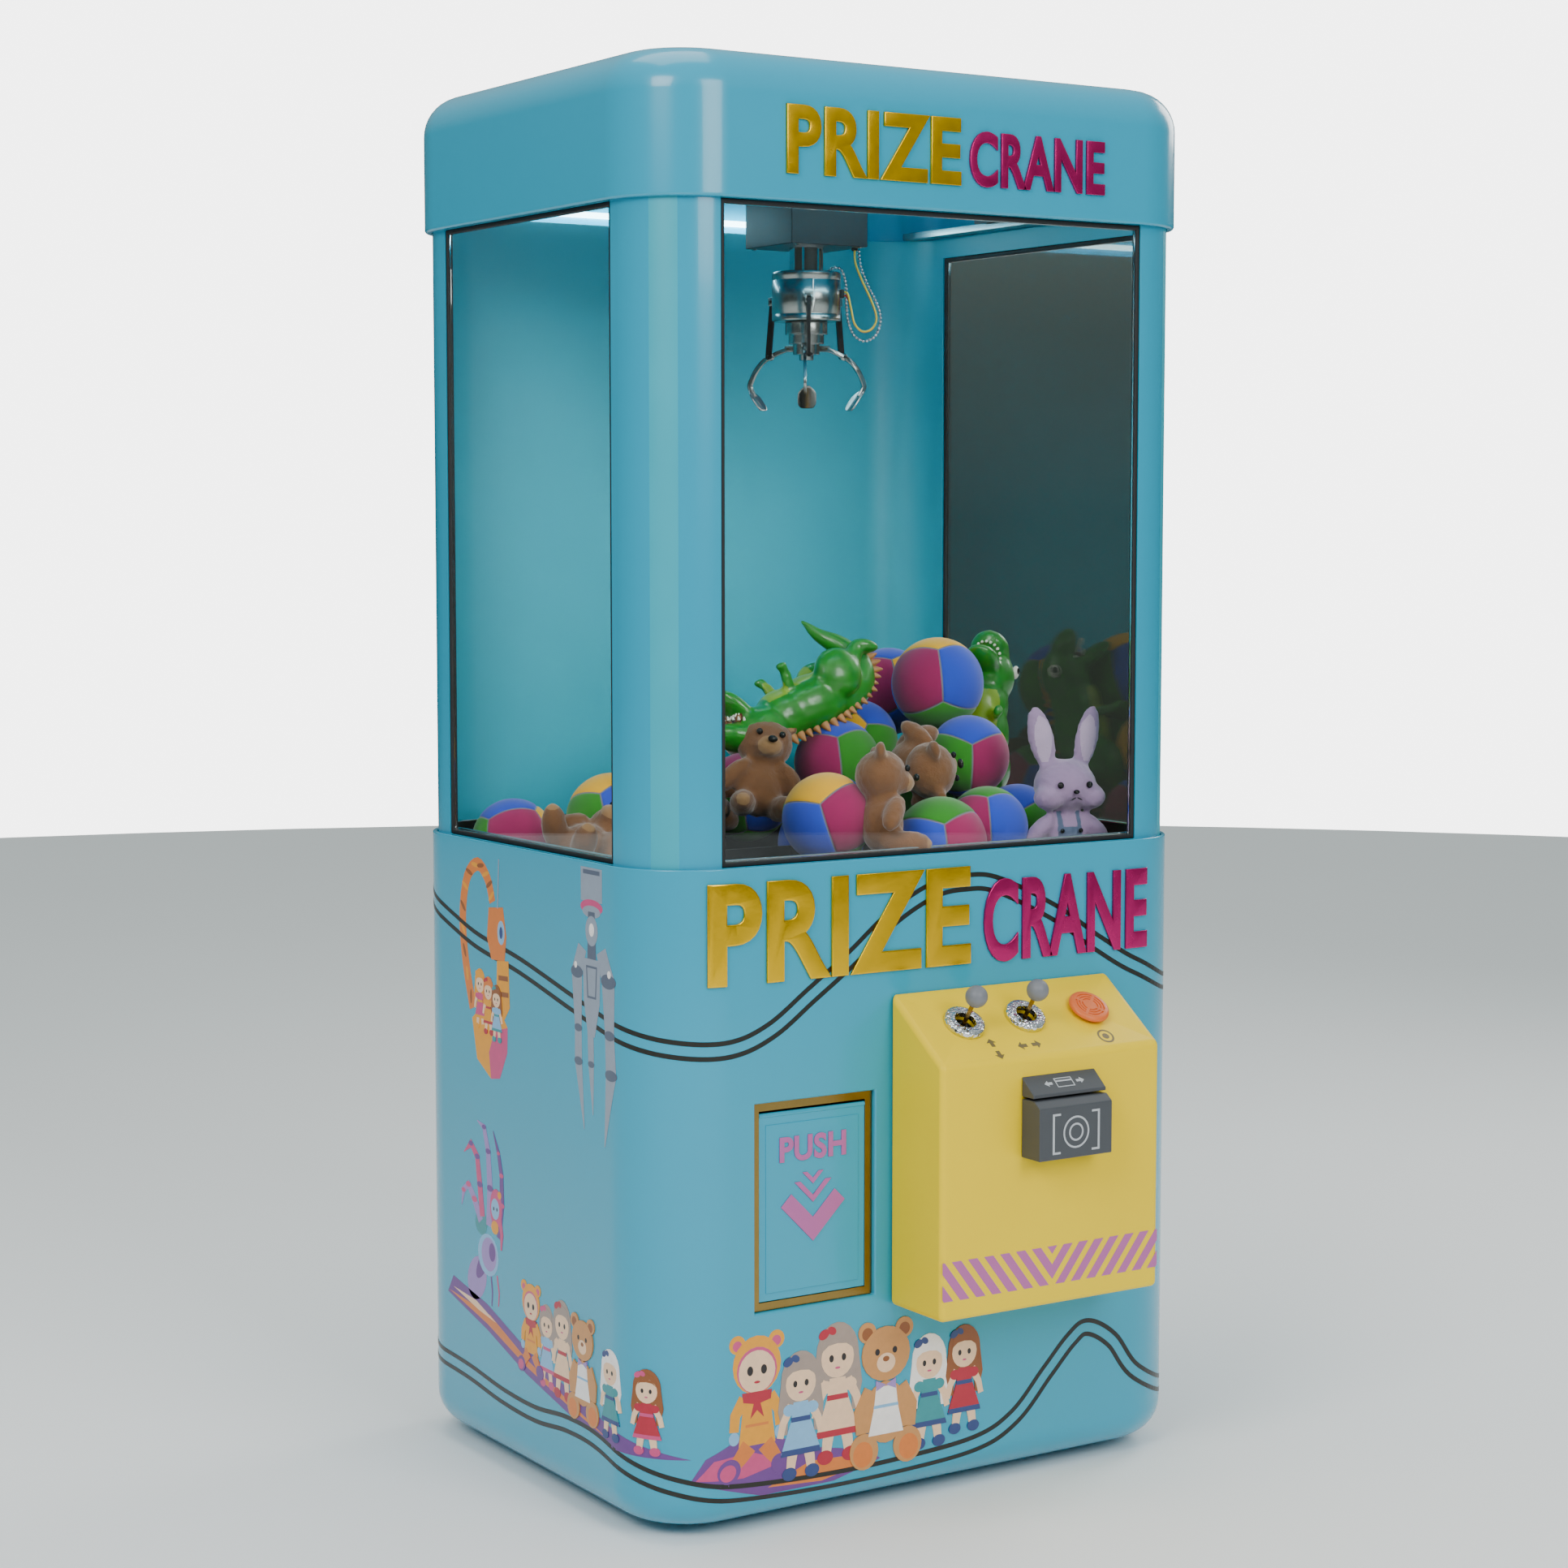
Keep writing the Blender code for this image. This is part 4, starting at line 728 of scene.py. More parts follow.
def make_joystick(side, x):
    """Chromed collar, housing, gimbal, shaft and ball."""
    name = side + "_joystick_"
    at = PANEL @ Matrix.Translation((x, 0, 0))
    rim = rounded([(0.0150, 0.0088), (0.0162, 0.0095), (0.0235, 0.0095), (0.0275, 0.0078), (0.029, 0.004),
                   (0.029, 0.0004), (0.0145, 0.0004), (0.0145, 0.0080), (0.0150, 0.0088)], 0.0009)
    collar = turned(name + "ring", rim[:-1], at, HAMMERED, steps=96, ring=True)
    keep(collar, "root", name + "collar")
    from_cad(name + "housing", BLACK_ABS, 0.0006)
    from_cad(name + "gimbal", BLUED, 0.0003, side + "_gimbal")
    from_cad(name + "stick", BRASS, 0.0003, side + "_stick")
    radius = 0.015
    arc = [(radius * math.sin(math.pi * i / 24), radius * math.cos(math.pi * i / 24)) for i in range(1, 24)]
    flat_base = [(0, radius)] + [p for p in arc if p[1] > -0.0142] + [(0.0048, -0.0142), (0, -0.0142)]
    knob = turned(name + "knob", flat_base, at @ Matrix.Translation((0, 0, 0.0503)), KNOB_GREY, steps=48)
    keep(knob, side + "_stick", name + "ball")
    # A rubber washer on the shaft hides the hole in the panel and tips with the stick.
    washer = rounded([(0.0028, -0.0012), (0.0055, -0.0008), (0.0074, -0.0018), (0.0078, -0.0028),
                      (0.0074, -0.0036), (0.0028, -0.0026)], 0.0005)
    boot = turned(name + "boot", washer, at, RUBBER, steps=48, ring=True)
    keep(boot, side + "_stick")


def make_button():
    """Push button in its ring."""
    at = PANEL @ Matrix.Translation((BUTTON_X, 0, 0))
    top, deep = 0.0122, 0.0014
    profile = [(0, top + 0.0003), (0.0070, top)]
    for inner in (0.0095, 0.0140, 0.0185):
        profile += [(inner, top), (inner + 0.0004, top - deep), (inner + 0.0022, top - deep),
                    (inner + 0.0026, top)]
    profile += [(0.0240, top), (0.0262, top - 0.0006), (0.0278, top - 0.0018), (0.0287, top - 0.0034),
                (0.0290, 0.0080), (0.0290, 0.0064), (0.0285, 0.0059), (0.0073, 0.0059),
                (0.0073, -0.0235), (0, -0.0235)]
    cap = turned("button_cap", profile, at, ORANGE, steps=96, degrees=40)
    ribs = []
    for i in range(4):
        rib = box("button_rib", (0.0075, -0.0019, top - deep - 0.0006), (0.0232, 0.0019, top), ORANGE)
        rib.data.transform(at @ Matrix.Rotation(math.radians(45 + 90 * i), 4, "Z"))
        ribs.append(rib)
    keep(smooth(united(cap, *ribs), 40), "push_button", "push_button_cap")
    from_cad("push_button_body", BLACK_ABS, 0.0003)
    coil = [Vector((0.0108 * math.cos(a), 0.0108 * math.sin(a), -0.0198 + 0.0186 * i / 143))
            for i, a in ((i, 2 * math.pi * 6 * i / 143) for i in range(144))]
    spring = tube_along("button_spring", [PANEL @ (Vector((BUTTON_X, 0, 0)) + p) for p in coil], 0.0006,
                        NICKEL)
    keep(spring, "root", "push_button_spring")


def flat_art(name, shapes, place, finish, thick=0.0003):
    """Inlays of one finish: outlines in a plane, given thickness and put in place."""
    shape = bmesh.new()
    for outline in shapes:
        low = [shape.verts.new(place(a, b, 0.0)) for a, b in outline]
        high = [shape.verts.new(place(a, b, thick)) for a, b in outline]
        shape.faces.new(low[::-1])
        shape.faces.new(high)
        for i in range(len(outline)):
            j = (i + 1) % len(outline)
            shape.faces.new((low[i], low[j], high[j], high[i]))
    bmesh.ops.recalc_face_normals(shape, faces=shape.faces)
    return from_bmesh(name, shape, finish)


def ring_band(x, y, inner, outer, start=0.0, end=360.0, steps=48):
    """Quads of a flat ring, or of part of one."""
    quads = []
    for i in range(steps):
        a, b = (math.radians(start + (end - start) * k / steps) for k in (i, i + 1))
        quads.append([(x + outer * math.cos(a), y + outer * math.sin(a)),
                      (x + outer * math.cos(b), y + outer * math.sin(b)),
                      (x + inner * math.cos(b), y + inner * math.sin(b)),
                      (x + inner * math.cos(a), y + inner * math.sin(a))])
    return quads


def arrow(x, y, angle, length, wide):
    """A block arrow from its tail."""
    points = [(0, -wide * 0.2), (length * 0.5, -wide * 0.2), (length * 0.5, -wide * 0.5), (length, 0),
              (length * 0.5, wide * 0.5), (length * 0.5, wide * 0.2), (0, wide * 0.2)]
    c, s = math.cos(math.radians(angle)), math.sin(math.radians(angle))
    return [(x + a * c - b * s, y + a * s + b * c) for a, b in points]


# Vinyl inlays: pink and tan, matt, with the slight unevenness of cut film.
VINYL_PINK = material("cut_vinyl_pink", "B5609E", 0.45, patch_mm=30, patch=0.05, grain_mm=1.5, grain=0.008)
VINYL_TAN = material("cut_vinyl_tan", "6E5F33", 0.40, patch_mm=20, patch=0.08, grain_mm=1.0, grain=0.008)
VINYL_PALE = material("cut_vinyl_pale_grey", "B9BDC2", 0.45, patch_mm=20, patch=0.05, grain_mm=1.0,
                      grain=0.008)


def make_console_marks():
    """Flat marks on the console."""
    def panel(a, b, lift):
        return on_panel(a, b, lift + 0.00005)
    middle = (STICKS[0][1] + STICKS[1][1]) / 2
    marks = []
    for x, turns in ((middle - 0.028, (90, 270)), (middle + 0.028, (0, 180))):
        for turn in turns:
            c, s = math.cos(math.radians(turn)), math.sin(math.radians(turn))
            marks.append(arrow(x + 0.004 * c, -0.050 + 0.004 * s, turn, 0.0150, 0.0155))
    marks += ring_band(BUTTON_X, -0.050, 0.0095, 0.0125)
    marks.append([quad[0] for quad in ring_band(BUTTON_X, -0.050, 0.0, 0.0052, steps=24)])
    keep(flat_art("control_symbols", marks, panel, VINYL_TAN, 0.0002))

    front = CONSOLE_LOW.y
    low, high = CONSOLE_LOW.z + 0.028, CONSOLE_LOW.z + 0.080
    left, right = CONSOLE_X - CONSOLE_HALF + 0.002, CONSOLE_X + CONSOLE_HALF - 0.002
    shape = bmesh.new()
    for k in range(-2, 8):
        reach = 0.0055 + k * 0.0262
        for sign in (-1, 1):
            foot, wide = CONSOLE_X + sign * reach, sign * 0.0150
            lean = sign * 0.040
            corners = [(foot, low), (foot + wide, low), (foot + wide + lean, high), (foot + lean, high)]
            stripe = shape.faces.new([shape.verts.new((a, 0, b)) for a, b in corners])
            bmesh.ops.bisect_plane(shape, geom=[*stripe.verts, *stripe.edges, stripe], clear_inner=True,
                                   plane_co=(CONSOLE_X, 0, 0), plane_no=(sign, 0, 0))
    for place, out in ((left, -1), (right, 1)):
        geometry = list(shape.verts) + list(shape.edges) + list(shape.faces)
        bmesh.ops.bisect_plane(shape, geom=geometry, plane_co=(place, 0, 0), plane_no=(out, 0, 0),
                               clear_outer=True)
    stripes = [[(v.co.x, v.co.z) for v in face.verts] for face in shape.faces]
    shape.free()
    keep(flat_art("console_stripes", stripes, lambda a, b, lift: (a, front - lift - 0.00005, b),
                  VINYL_PINK, 0.0003))


def make_reader():
    """Grey card reader with a wedge cap; the card slides through the gap."""
    low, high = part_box("reader_body")
    from_cad("reader_body", GREY_ABS, 0.0014)
    from_cad("reader_cap", GREY_ABS, 0.0012)
    x, z, face = (low.x + high.x) / 2, low.z + 0.0345, low.y
    marks = ring_band(x, z, 0.0190, 0.0215) + ring_band(x, z, 0.0095, 0.0120, steps=36)
    for sign in (-1, 1):
        edge = x + sign * 0.0360
        marks.append([(edge, z - 0.0270), (edge, z + 0.0270), (edge + sign * 0.0032, z + 0.0270),
                      (edge + sign * 0.0032, z - 0.0270)])
        for end in (-1, 1):
            tip, base = z + end * 0.0270, z + end * 0.0242
            marks.append([(edge, base), (edge, tip), (edge - sign * 0.0100, tip),
                          (edge - sign * 0.0100, base)])
    keep(flat_art("reader_target", marks, lambda a, b, lift: (a, face - lift - 0.00005, b), VINYL_PALE))

    cap_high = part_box("reader_cap")[1]
    lean = math.atan2(0.0215, 0.026)
    middle = Vector((x, cap_high.y - 0.0130, cap_high.z - 0.01075))
    slope = Matrix.Translation(middle) @ Matrix.Rotation(lean, 4, "X")

    def on_cap(a, b, lift):
        return slope @ Vector((a, b, lift + 0.00005))
    card = []
    for a, b, c, d in ((-0.013, 0.0065, 0.013, 0.0078), (-0.013, -0.0078, 0.013, -0.0065),
                       (-0.0143, -0.0078, -0.013, 0.0078), (0.013, -0.0078, 0.0143, 0.0078),
                       (-0.013, 0.0015, 0.013, 0.0040)):
        card.append([(a, b), (c, b), (c, d), (a, d)])
    card.append(arrow(0.020, 0, 0, 0.013, 0.010))
    card.append(arrow(-0.020, 0, 180, 0.013, 0.010))
    keep(flat_art("card_symbol", card, on_cap, VINYL_PALE))


def make_prize_door():
    """Brass frame and a hinged flap with its marks."""
    from_cad("door_frame", BRASS, 0.0028)
    from_cad("door_flap", TEAL, 0.0006, "prize_flap")
    from_cad("door_hinge_pin", NICKEL, 0)
    low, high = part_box("door_flap")
    pin = pivot("prize_flap_swing")
    skin = pin.y - 0.002
    x = (low.x + high.x) / 2
    # A raised panel on the flap, as the pressed sheet has, carries the mark.
    plate = box("flap_panel", (low.x + 0.010, skin - 0.0012, low.z + 0.010),
                (high.x - 0.010, skin + 0.0003, high.z - 0.016), TEAL)
    keep(eased(plate, 0.0009, 3), "prize_flap")
    front = skin - 0.0012
    chevrons = []
    # Each half mark runs from its tip out to its arm's end, across the arm and back to the middle.
    for size, level, across, rise, middle in ((0.0165, 0.458, 0.0075, 0, 0.0075),
                                              (0.0290, 0.446, 0.0095, 0, 0.0095),
                                              (0.0500, 0.415, 0.016, 0.016, 0.032)):
        level += BASE_BOTTOM
        for sign in (-1, 1):
            chevrons.append([(x, level - size), (x + sign * size, level),
                             (x + sign * (size - across), level + rise), (x, level - size + middle)])
    shape = bmesh.new()
    for points in chevrons:
        rims = [[shape.verts.new((a, front - depth, b)) for a, b in points] for depth in (0.0, 0.0018)]
        shape.faces.new(rims[0])
        shape.faces.new(rims[1][::-1])
        for i in range(4):
            j = (i + 1) % 4
            shape.faces.new((rims[0][i], rims[0][j], rims[1][j], rims[1][i]))
    bmesh.ops.remove_doubles(shape, verts=shape.verts, dist=0.00001)
    doubled = [f for f in shape.faces if sum(1 for g in shape.faces if set(g.verts) == set(f.verts)) > 1]
    bmesh.ops.delete(shape, geom=doubled, context="FACES_ONLY")
    bmesh.ops.recalc_face_normals(shape, faces=shape.faces)
    keep(eased(from_bmesh("flap_chevrons", shape, VINYL_PINK), 0.0005, 2), "prize_flap")
    word = text_mesh("flap_word", "PUSH", x - 0.052, x + 0.052, 0.474 + BASE_BOTTOM, 0.508 + BASE_BOTTOM,
                     0.0018)
    for vert in word.verts:
        vert.co = (vert.co.x, front - vert.co.z, vert.co.y)
    bmesh.ops.recalc_face_normals(word, faces=word.faces)
    keep(smooth(from_bmesh("flap_word", word, VINYL_PINK), 30), "prize_flap")


make_console()
for side, x in STICKS:
    make_joystick(side, x)
make_button()
make_console_marks()
make_reader()
make_prize_door()


# ---------------------------------------------------------------- repeats, with geometry nodes
def repeat_tree():
    """Sets one small piece at every point of a mesh, its own z along each point's "out" direction."""
    tree = bpy.data.node_groups.new("repeat_along_points", "GeometryNodeTree")
    for name, kind in (("Points", "NodeSocketGeometry"), ("Piece", "NodeSocketObject"),
                       ("Finish", "NodeSocketMaterial"), ("Size", "NodeSocketFloat"),
                       ("Size spread", "NodeSocketFloat"), ("Seed", "NodeSocketInt")):
        tree.interface.new_socket(name, in_out="INPUT", socket_type=kind)
    tree.interface.new_socket("Pieces", in_out="OUTPUT", socket_type="NodeSocketGeometry")
    given = add(tree, "NodeGroupInput").outputs
    piece = add(tree, "GeometryNodeObjectInfo", {"Object": given["Piece"]})
    out = add(tree, "GeometryNodeInputNamedAttribute", {"Name": "out"}, data_type="FLOAT_VECTOR")
    turn = add(tree, "FunctionNodeAlignRotationToVector", {"Vector": out.outputs["Attribute"]}, axis="Z")
    least = add(tree, "ShaderNodeMath", {0: given["Size"], 1: given["Size spread"]}, operation="SUBTRACT")
    most = add(tree, "ShaderNodeMath", {0: given["Size"], 1: given["Size spread"]}, operation="ADD")
    size = add(tree, "FunctionNodeRandomValue", {"Seed": given["Seed"]}, data_type="FLOAT")
    tree.links.new(least.outputs[0], size.inputs[2])
    tree.links.new(most.outputs[0], size.inputs[3])
    points = add(tree, "GeometryNodeMeshToPoints", {"Mesh": given["Points"]})
    laid = add(tree, "GeometryNodeInstanceOnPoints", {
        "Points": points.outputs["Points"], "Instance": piece.outputs["Geometry"],
        "Rotation": turn.outputs["Rotation"], "Scale": size.outputs[1]})
    whole = add(tree, "GeometryNodeRealizeInstances", {"Geometry": laid.outputs["Instances"]})
    finished = add(tree, "GeometryNodeSetMaterial", {"Geometry": whole.outputs["Geometry"],
                                                     "Material": given["Finish"]})
    result = add(tree, "NodeGroupOutput")
    tree.links.new(finished.outputs["Geometry"], result.inputs["Pieces"])
    return tree


REPEAT = repeat_tree()


def repeated(name, spots, piece, finish, size=1.0, spread=0.0, seed=3, degrees=35):
    """Copies of a small piece at (point, direction) spots, as one plain mesh."""
    mesh = bpy.data.meshes.new(name)
    mesh.from_pydata([tuple(p) for p, _ in spots], [], [])
    along = mesh.attributes.new("out", "FLOAT_VECTOR", "POINT")
    along.data.foreach_set("vector", [c for _, d in spots for c in Vector(d).normalized()])
    thing = to_object(name, mesh)
    maker = thing.modifiers.new("repeat", "NODES")
    maker.node_group = REPEAT
    values = {"Piece": piece, "Finish": finish, "Size": size, "Size spread": spread, "Seed": seed}
    for socket in REPEAT.interface.items_tree:
        if socket.in_out == "INPUT" and socket.name in values:
            maker[socket.identifier] = values[socket.name]
    made = applied(thing)
    made.data.materials.clear()
    made.data.materials.append(finish)
    bpy.data.objects.remove(piece, do_unlink=True)
    return smooth(made, degrees)


def screw_head(radius=0.004):
    """Low domed screw head with a cross recess."""
    dome = turned("screw_head", [(0, 0.0018), (radius * 0.5, 0.0016), (radius * 0.85, 0.0010),
                                 (radius, 0.0002),
                                 (radius, 0.0), (0, 0.0)], Matrix(), NICKEL, steps=20)
    across = radius * 0.55
    slots = [box("recess", (-a, -b, 0.0008), (a, b, 0.003)) for a,
             b in ((across, 0.0005), (0.0005, across))]
    return bored(dome, *slots)


# ---------------------------------------------------------------- gantry in the header
TROLLEY_LOW, TROLLEY_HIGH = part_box("trolley_housing")
CLAW_X = (TROLLEY_LOW.x + TROLLEY_HIGH.x) / 2
CLAW_Y = (TROLLEY_LOW.y + TROLLEY_HIGH.y) / 2
LIFT = BASE_BOTTOM
AXIS = Matrix.Translation((CLAW_X, CLAW_Y, LIFT))
ARM_ANGLES = (-122.5, -2.5, 117.5)
STRUT_R, STRUT_Z, ELBOW_R, ELBOW_Z = 0.053, 1.6165, 0.060, 1.5395
HEAD_LOW, HEAD_HIGH, HEAD_R = 1.5872, 1.6565, 0.0487
BAR, PLAY = 0.005, 0.0003


def make_gantry():
    """Rails, bridge, trolley, hoist and the telescoping tubes."""
    for side in ("left", "right"):
        from_cad(f"rail_{side}", NICKEL, 0.0008)
    from_cad("bridge_beam", BLUED, 0.0010, "bridge")
    for end in ("front", "rear"):
        from_cad(f"bridge_axle_{end}", NICKEL, 0.0006, f"axle_{end}")
    from_cad("trolley_housing", POWDER_BLACK, 0.0014, "trolley")
    from_cad("hoist_motor", BLUED, 0.0010, "trolley")
    from_cad("hoist_drum", NICKEL, 0.0006, "drum")
    # Rope wound on the drum, turn beside turn.
    drum = pivot("hoist_drum_turn")
    turns, pitch, radius = 10, 0.0021, 0.0149
    rope = [drum + Vector((-0.0105 + pitch * turns * i / 240, radius * math.cos(a), radius * math.sin(a)))
            for i, a in ((i, 2 * math.pi * turns * i / 240) for i in range(241))]
    keep(tube_along("drum_rope", rope, 0.0009, NICKEL), "drum")
    rim = rounded([(0.0208, 1.6575), (0.0240, 1.6575), (0.0240, 1.872), (0.0208, 1.872)], 0.0008)
    keep(turned("hoist_tube_outer", rim, AXIS, CHROME, steps=72, ring=True), "trolley",
         "tube_outer")
    rim = rounded([(0.0168, 1.6575), (0.0205, 1.6575), (0.0205, 1.868), (0.0168, 1.868)], 0.0006)
    keep(turned("hoist_tube_middle", rim, AXIS, CHROME, steps=72, ring=True), "mid_tube",
         "tube_mid")
    rim = rounded([(0.0125, 1.6568), (0.0165, 1.6568), (0.0165, 1.864), (0.0125, 1.864)], 0.0006)
    keep(turned("hoist_stem", rim, AXIS, CHROME, steps=72, ring=True), "claw", "claw_stem")
    low, high = TROLLEY_LOW, TROLLEY_HIGH
    heads = [((x, y, low.z), (0, 0, -1))
             for x in (low.x + 0.012, high.x - 0.012) for y in (low.y + 0.020, high.y - 0.020)]
    keep(repeated("trolley_screws", heads, screw_head(), NICKEL), "trolley")


def lamp_material():
    """Cool white diffuser over a lamp strip: it glows evenly."""
    made = material("lamp_diffuser", "F2F6F4", 0.4, patch_mm=50, patch=0.02)
    shader = made.node_tree.nodes["Principled BSDF"]
    shader.inputs["Emission Color"].default_value = linear("C9F6FF")
    shader.inputs["Emission Strength"].default_value = 22.0
    return made


LAMP = lamp_material()


def make_lamps():
    """Lamp strips along the top of the cabin, behind the header's lip."""
    z = HEADER_BOTTOM + 0.040
    for name, low, high in (
            ("front_lamp", (-0.300, front_y(HEADER_Y) + 0.018, z),
             (0.300, front_y(HEADER_Y) + 0.032, z + 0.008)),
            ("rear_lamp", (-0.300, CENTRE_Y + HEADER_Y - 0.032, z),
             (0.300, CENTRE_Y + HEADER_Y - 0.018, z + 0.008))):
        keep(eased(box(name, low, high, LAMP), 0.003, 3))


# ---------------------------------------------------------------- claw
def spoke(number):
    """The place of one of the three arms, turned about the claw's axis."""
    return AXIS @ Matrix.Rotation(math.radians(ARM_ANGLES[number - 1]), 4, "Z")


def pin(name, radius, length, centre, place, *materials):
    """A short pin across the claw, with eased ends."""
    half, ease = length / 2, radius * 0.25
    profile = [(0, half), (radius - ease, half), (radius, half - ease), (radius, ease - half),
               (radius - ease, -half), (0, -half)]
    return turned(name, profile, place @ Matrix.Translation(centre) @ Matrix.Rotation(math.pi / 2, 4, "X"),
                  *materials, steps=32)


def placed_box(name, low, high, place, *materials):
    """A box set in a place other than the world's."""
    made = box(name, low, high, *materials)
    made.data.transform(place)
    return made


def make_claw_head():
    """Solenoid cup: nickel plated, with a rolled rim, a seam and an engraved ring of plain lines."""
    z1, z0 = HEAD_HIGH, HEAD_LOW
    outside = [(0, z1), (0.0455, z1), (HEAD_R - 0.0006, z1 - 0.0012), (HEAD_R, z1 - 0.0030),
               (HEAD_R, z1 - 0.0110),
               (HEAD_R - 0.0005, z1 - 0.0114), (HEAD_R - 0.0005, z1 - 0.0122), (HEAD_R, z1 - 0.0126),
               (HEAD_R, z0 + 0.0110), (HEAD_R - 0.0006, z0 + 0.0104), (HEAD_R - 0.0006, z0 + 0.0092),
               (HEAD_R, z0 + 0.0086), (HEAD_R, z0 + 0.0022), (HEAD_R - 0.0008, z0 + 0.0006), (0.0465, z0),
               (0.0320, z0), (0.0310, z0 + 0.0010), (0.0310, 1.645), (0, 1.645)]
    head = turned("claw_head", outside, AXIS, NICKEL, steps=96, degrees=25)
    bar = BAR + 2 * PLAY
    joins, cuts = [], []
    for number in (1, 2, 3):
        place = spoke(number)
        for low in (-0.003, bar):
            ear = box("ear", (0.0455, low, STRUT_Z - 0.006), (0.0580, low + 0.003, STRUT_Z + 0.006), NICKEL)
            ear = eased(ear, 0.0011, 2)
            ear.data.transform(place)
            joins.append(ear)
        cuts.append(placed_box("notch", (0.0437, -0.0005, z0 - 0.01),
                               (0.0600, bar + 0.0005, STRUT_Z - 0.0082), place))
        cuts.append(placed_box("relief", (0.0442, -0.0007, STRUT_Z - 0.0092),
                               (0.0493, bar + 0.0007, STRUT_Z + 0.0048), place))
    head = united(bored(head, *cuts), *joins)
    keep(smooth(head, 30), "claw", "claw_head")
    for number in (1, 2, 3):
        rivet = pin("strut_pin", 0.0020, bar + 0.0080, (STRUT_R, bar / 2, STRUT_Z), spoke(number), BLUED)
        keep(rivet, "claw")


def make_plunger():
    steps = [(0, 1.622), (0.0120, 1.622), (0.0120, 1.5866), (0.0300, 1.5866), (0.0300, 1.5690),
             (0.0250, 1.5690),
             (0.0250, 1.5560), (0.0190, 1.5560), (0.0190, 1.5410), (0.0105, 1.5410), (0.0100, 1.5330),
             (0, 1.5330)]
    body = turned("claw_plunger", rounded(steps, 0.0009, 3), AXIS, NICKEL, steps=96, degrees=25)
    bar = BAR + 2 * PLAY
    lugs = []
    for number in (1, 2, 3):
        for low in (-bar - 0.0023, 0.0001):
            lug = eased(box("lug", (0.0165, low, 1.5458), (0.0345, low + 0.0022, 1.5542), NICKEL), 0.0007,
                        2)
            lug.data.transform(spoke(number))
            lugs.append(lug)
    keep(smooth(united(body, *lugs), 30), "plunger", "claw_plunger")
    for number in (1, 2, 3):
        for end in (-1, 1):
            rivet = pin("slide_pin_head", 0.0016, 0.0026, (0.0290, end * 0.0045 - bar / 2, 1.5500),
                        spoke(number),
                        BRASS)
            keep(rivet, "plunger")


def even_strip(path, width):
    """Outline of a strip of even width along (r, z) points, as arrays of left and right edges."""
    left, right = [], []
    for i, point in enumerate(path):
        along = (path[min(i + 1, len(path) - 1)] - path[max(i - 1, 0)]).normalized()
        across = Vector((-along.z, 0, along.x)) * width(i / (len(path) - 1)) / 2
        left.append(point + across)
        right.append(point - across)
    return left, right


def make_arm(number):
    """Finger: bent flat bar with an eased rim, a pivot boss, and a dished spade at its end."""
    place = spoke(number) @ Matrix.Translation((ELBOW_R, 0, ELBOW_Z))
    route = [Vector((u, 0, v)) for u, v in ((-0.0310, 0.0105), (-0.0150, 0.0060), (0.0, 0.0),
                                            (0.0130, -0.0075),
                                            (0.0240, -0.0195), (0.0310, -0.0320), (0.0340, -0.0415),
                                            (0.0295, -0.0505), (0.0255, -0.0560))]
    path = through(route, 6)
    left, right = even_strip(path, lambda t: 0.0072 - 0.0012 * abs(2 * t - 1) ** 3)
    outline = [(p.x, p.z) for p in left[::-1] + right]
    side = -(PLAY + BAR / 2)
    strip = eased(prism("finger_bar", outline, side - 0.00225, side + 0.00225, "y", NICKEL), 0.0008, 2, 50)
    strip.data.transform(place)
    boss = pin("boss", 0.0054, BAR - 0.0001, (0, side, 0), place, NICKEL)
    end = pin("inner_end", 0.0042, BAR - 0.0003, (-0.0310, side, 0.0105), place, NICKEL)
    # The spade: a rounded shield, dished a little across its width.
    start, tip = Vector((0.0295, 0, -0.0505)), Vector((0.0100, 0, -0.0765))
    down = (tip - start).normalized()
    face = Vector((-down.z, 0, down.x))
    shield = [(-0.006, 0.0036), (-0.003, 0.0055), (0.001, 0.0090), (0.005, 0.0115), (0.009, 0.0128),
              (0.015, 0.0130),
              (0.0235, 0.0129), (0.0275, 0.0118), (0.0305, 0.0098), (0.0318, 0.0070)]
    rows = []
    for reach, half in shield:
        row = []
        for k in range(9):
            across = half * (k / 4 - 1)
            dish = 0.0016 * (abs(across) / 0.013) ** 2
            row.append(start + down * reach + Vector((0, across, 0)) - face * dish)
        rows.append(row)
    shape = bmesh.new()
    grid = [[shape.verts.new(p) for p in row] for row in rows]
    for a, b in zip(grid, grid[1:]):
        for k in range(8):
            shape.faces.new((a[k], a[k + 1], b[k + 1], b[k]))
    blade = from_bmesh("finger_blade", shape, NICKEL)
    wall = blade.modifiers.new("plate", "SOLIDIFY")
    wall.thickness = 0.0022
    wall.offset = 0
    blade = applied(blade)
    blade = eased(blade, 0.0005, 2, 60)
    blade.data.transform(place)
    finger = smooth(united(strip, boss, end, blade), 30)
    keep(finger, f"finger_{number}", f"claw_arm_{number}")
    keep(pin("elbow_pin", 0.0020, 2 * BAR + 0.0040, (0, 0.0015, 0), place, BLUED), f"finger_{number}")


def make_strut(number):
    """The link between the plunger and one finger, with eased edges."""
    from_cad(f"claw_link_{number}", BLUED, 0.0007, f"strut_{number}", 40)


# ---------------------------------------------------------------- leads and chain beside the claw
LEAD_AZIMUTH = math.radians(-33)
RED_PVC = material("pvc_lead_red", "C4202A", 0.38, patch_mm=8, patch=0.10, grain_mm=1.0, grain=0.006)
YELLOW_PVC = material("pvc_lead_yellow", "E3C23C", 0.38, patch_mm=8, patch=0.10, grain_mm=1.0, grain=0.006)


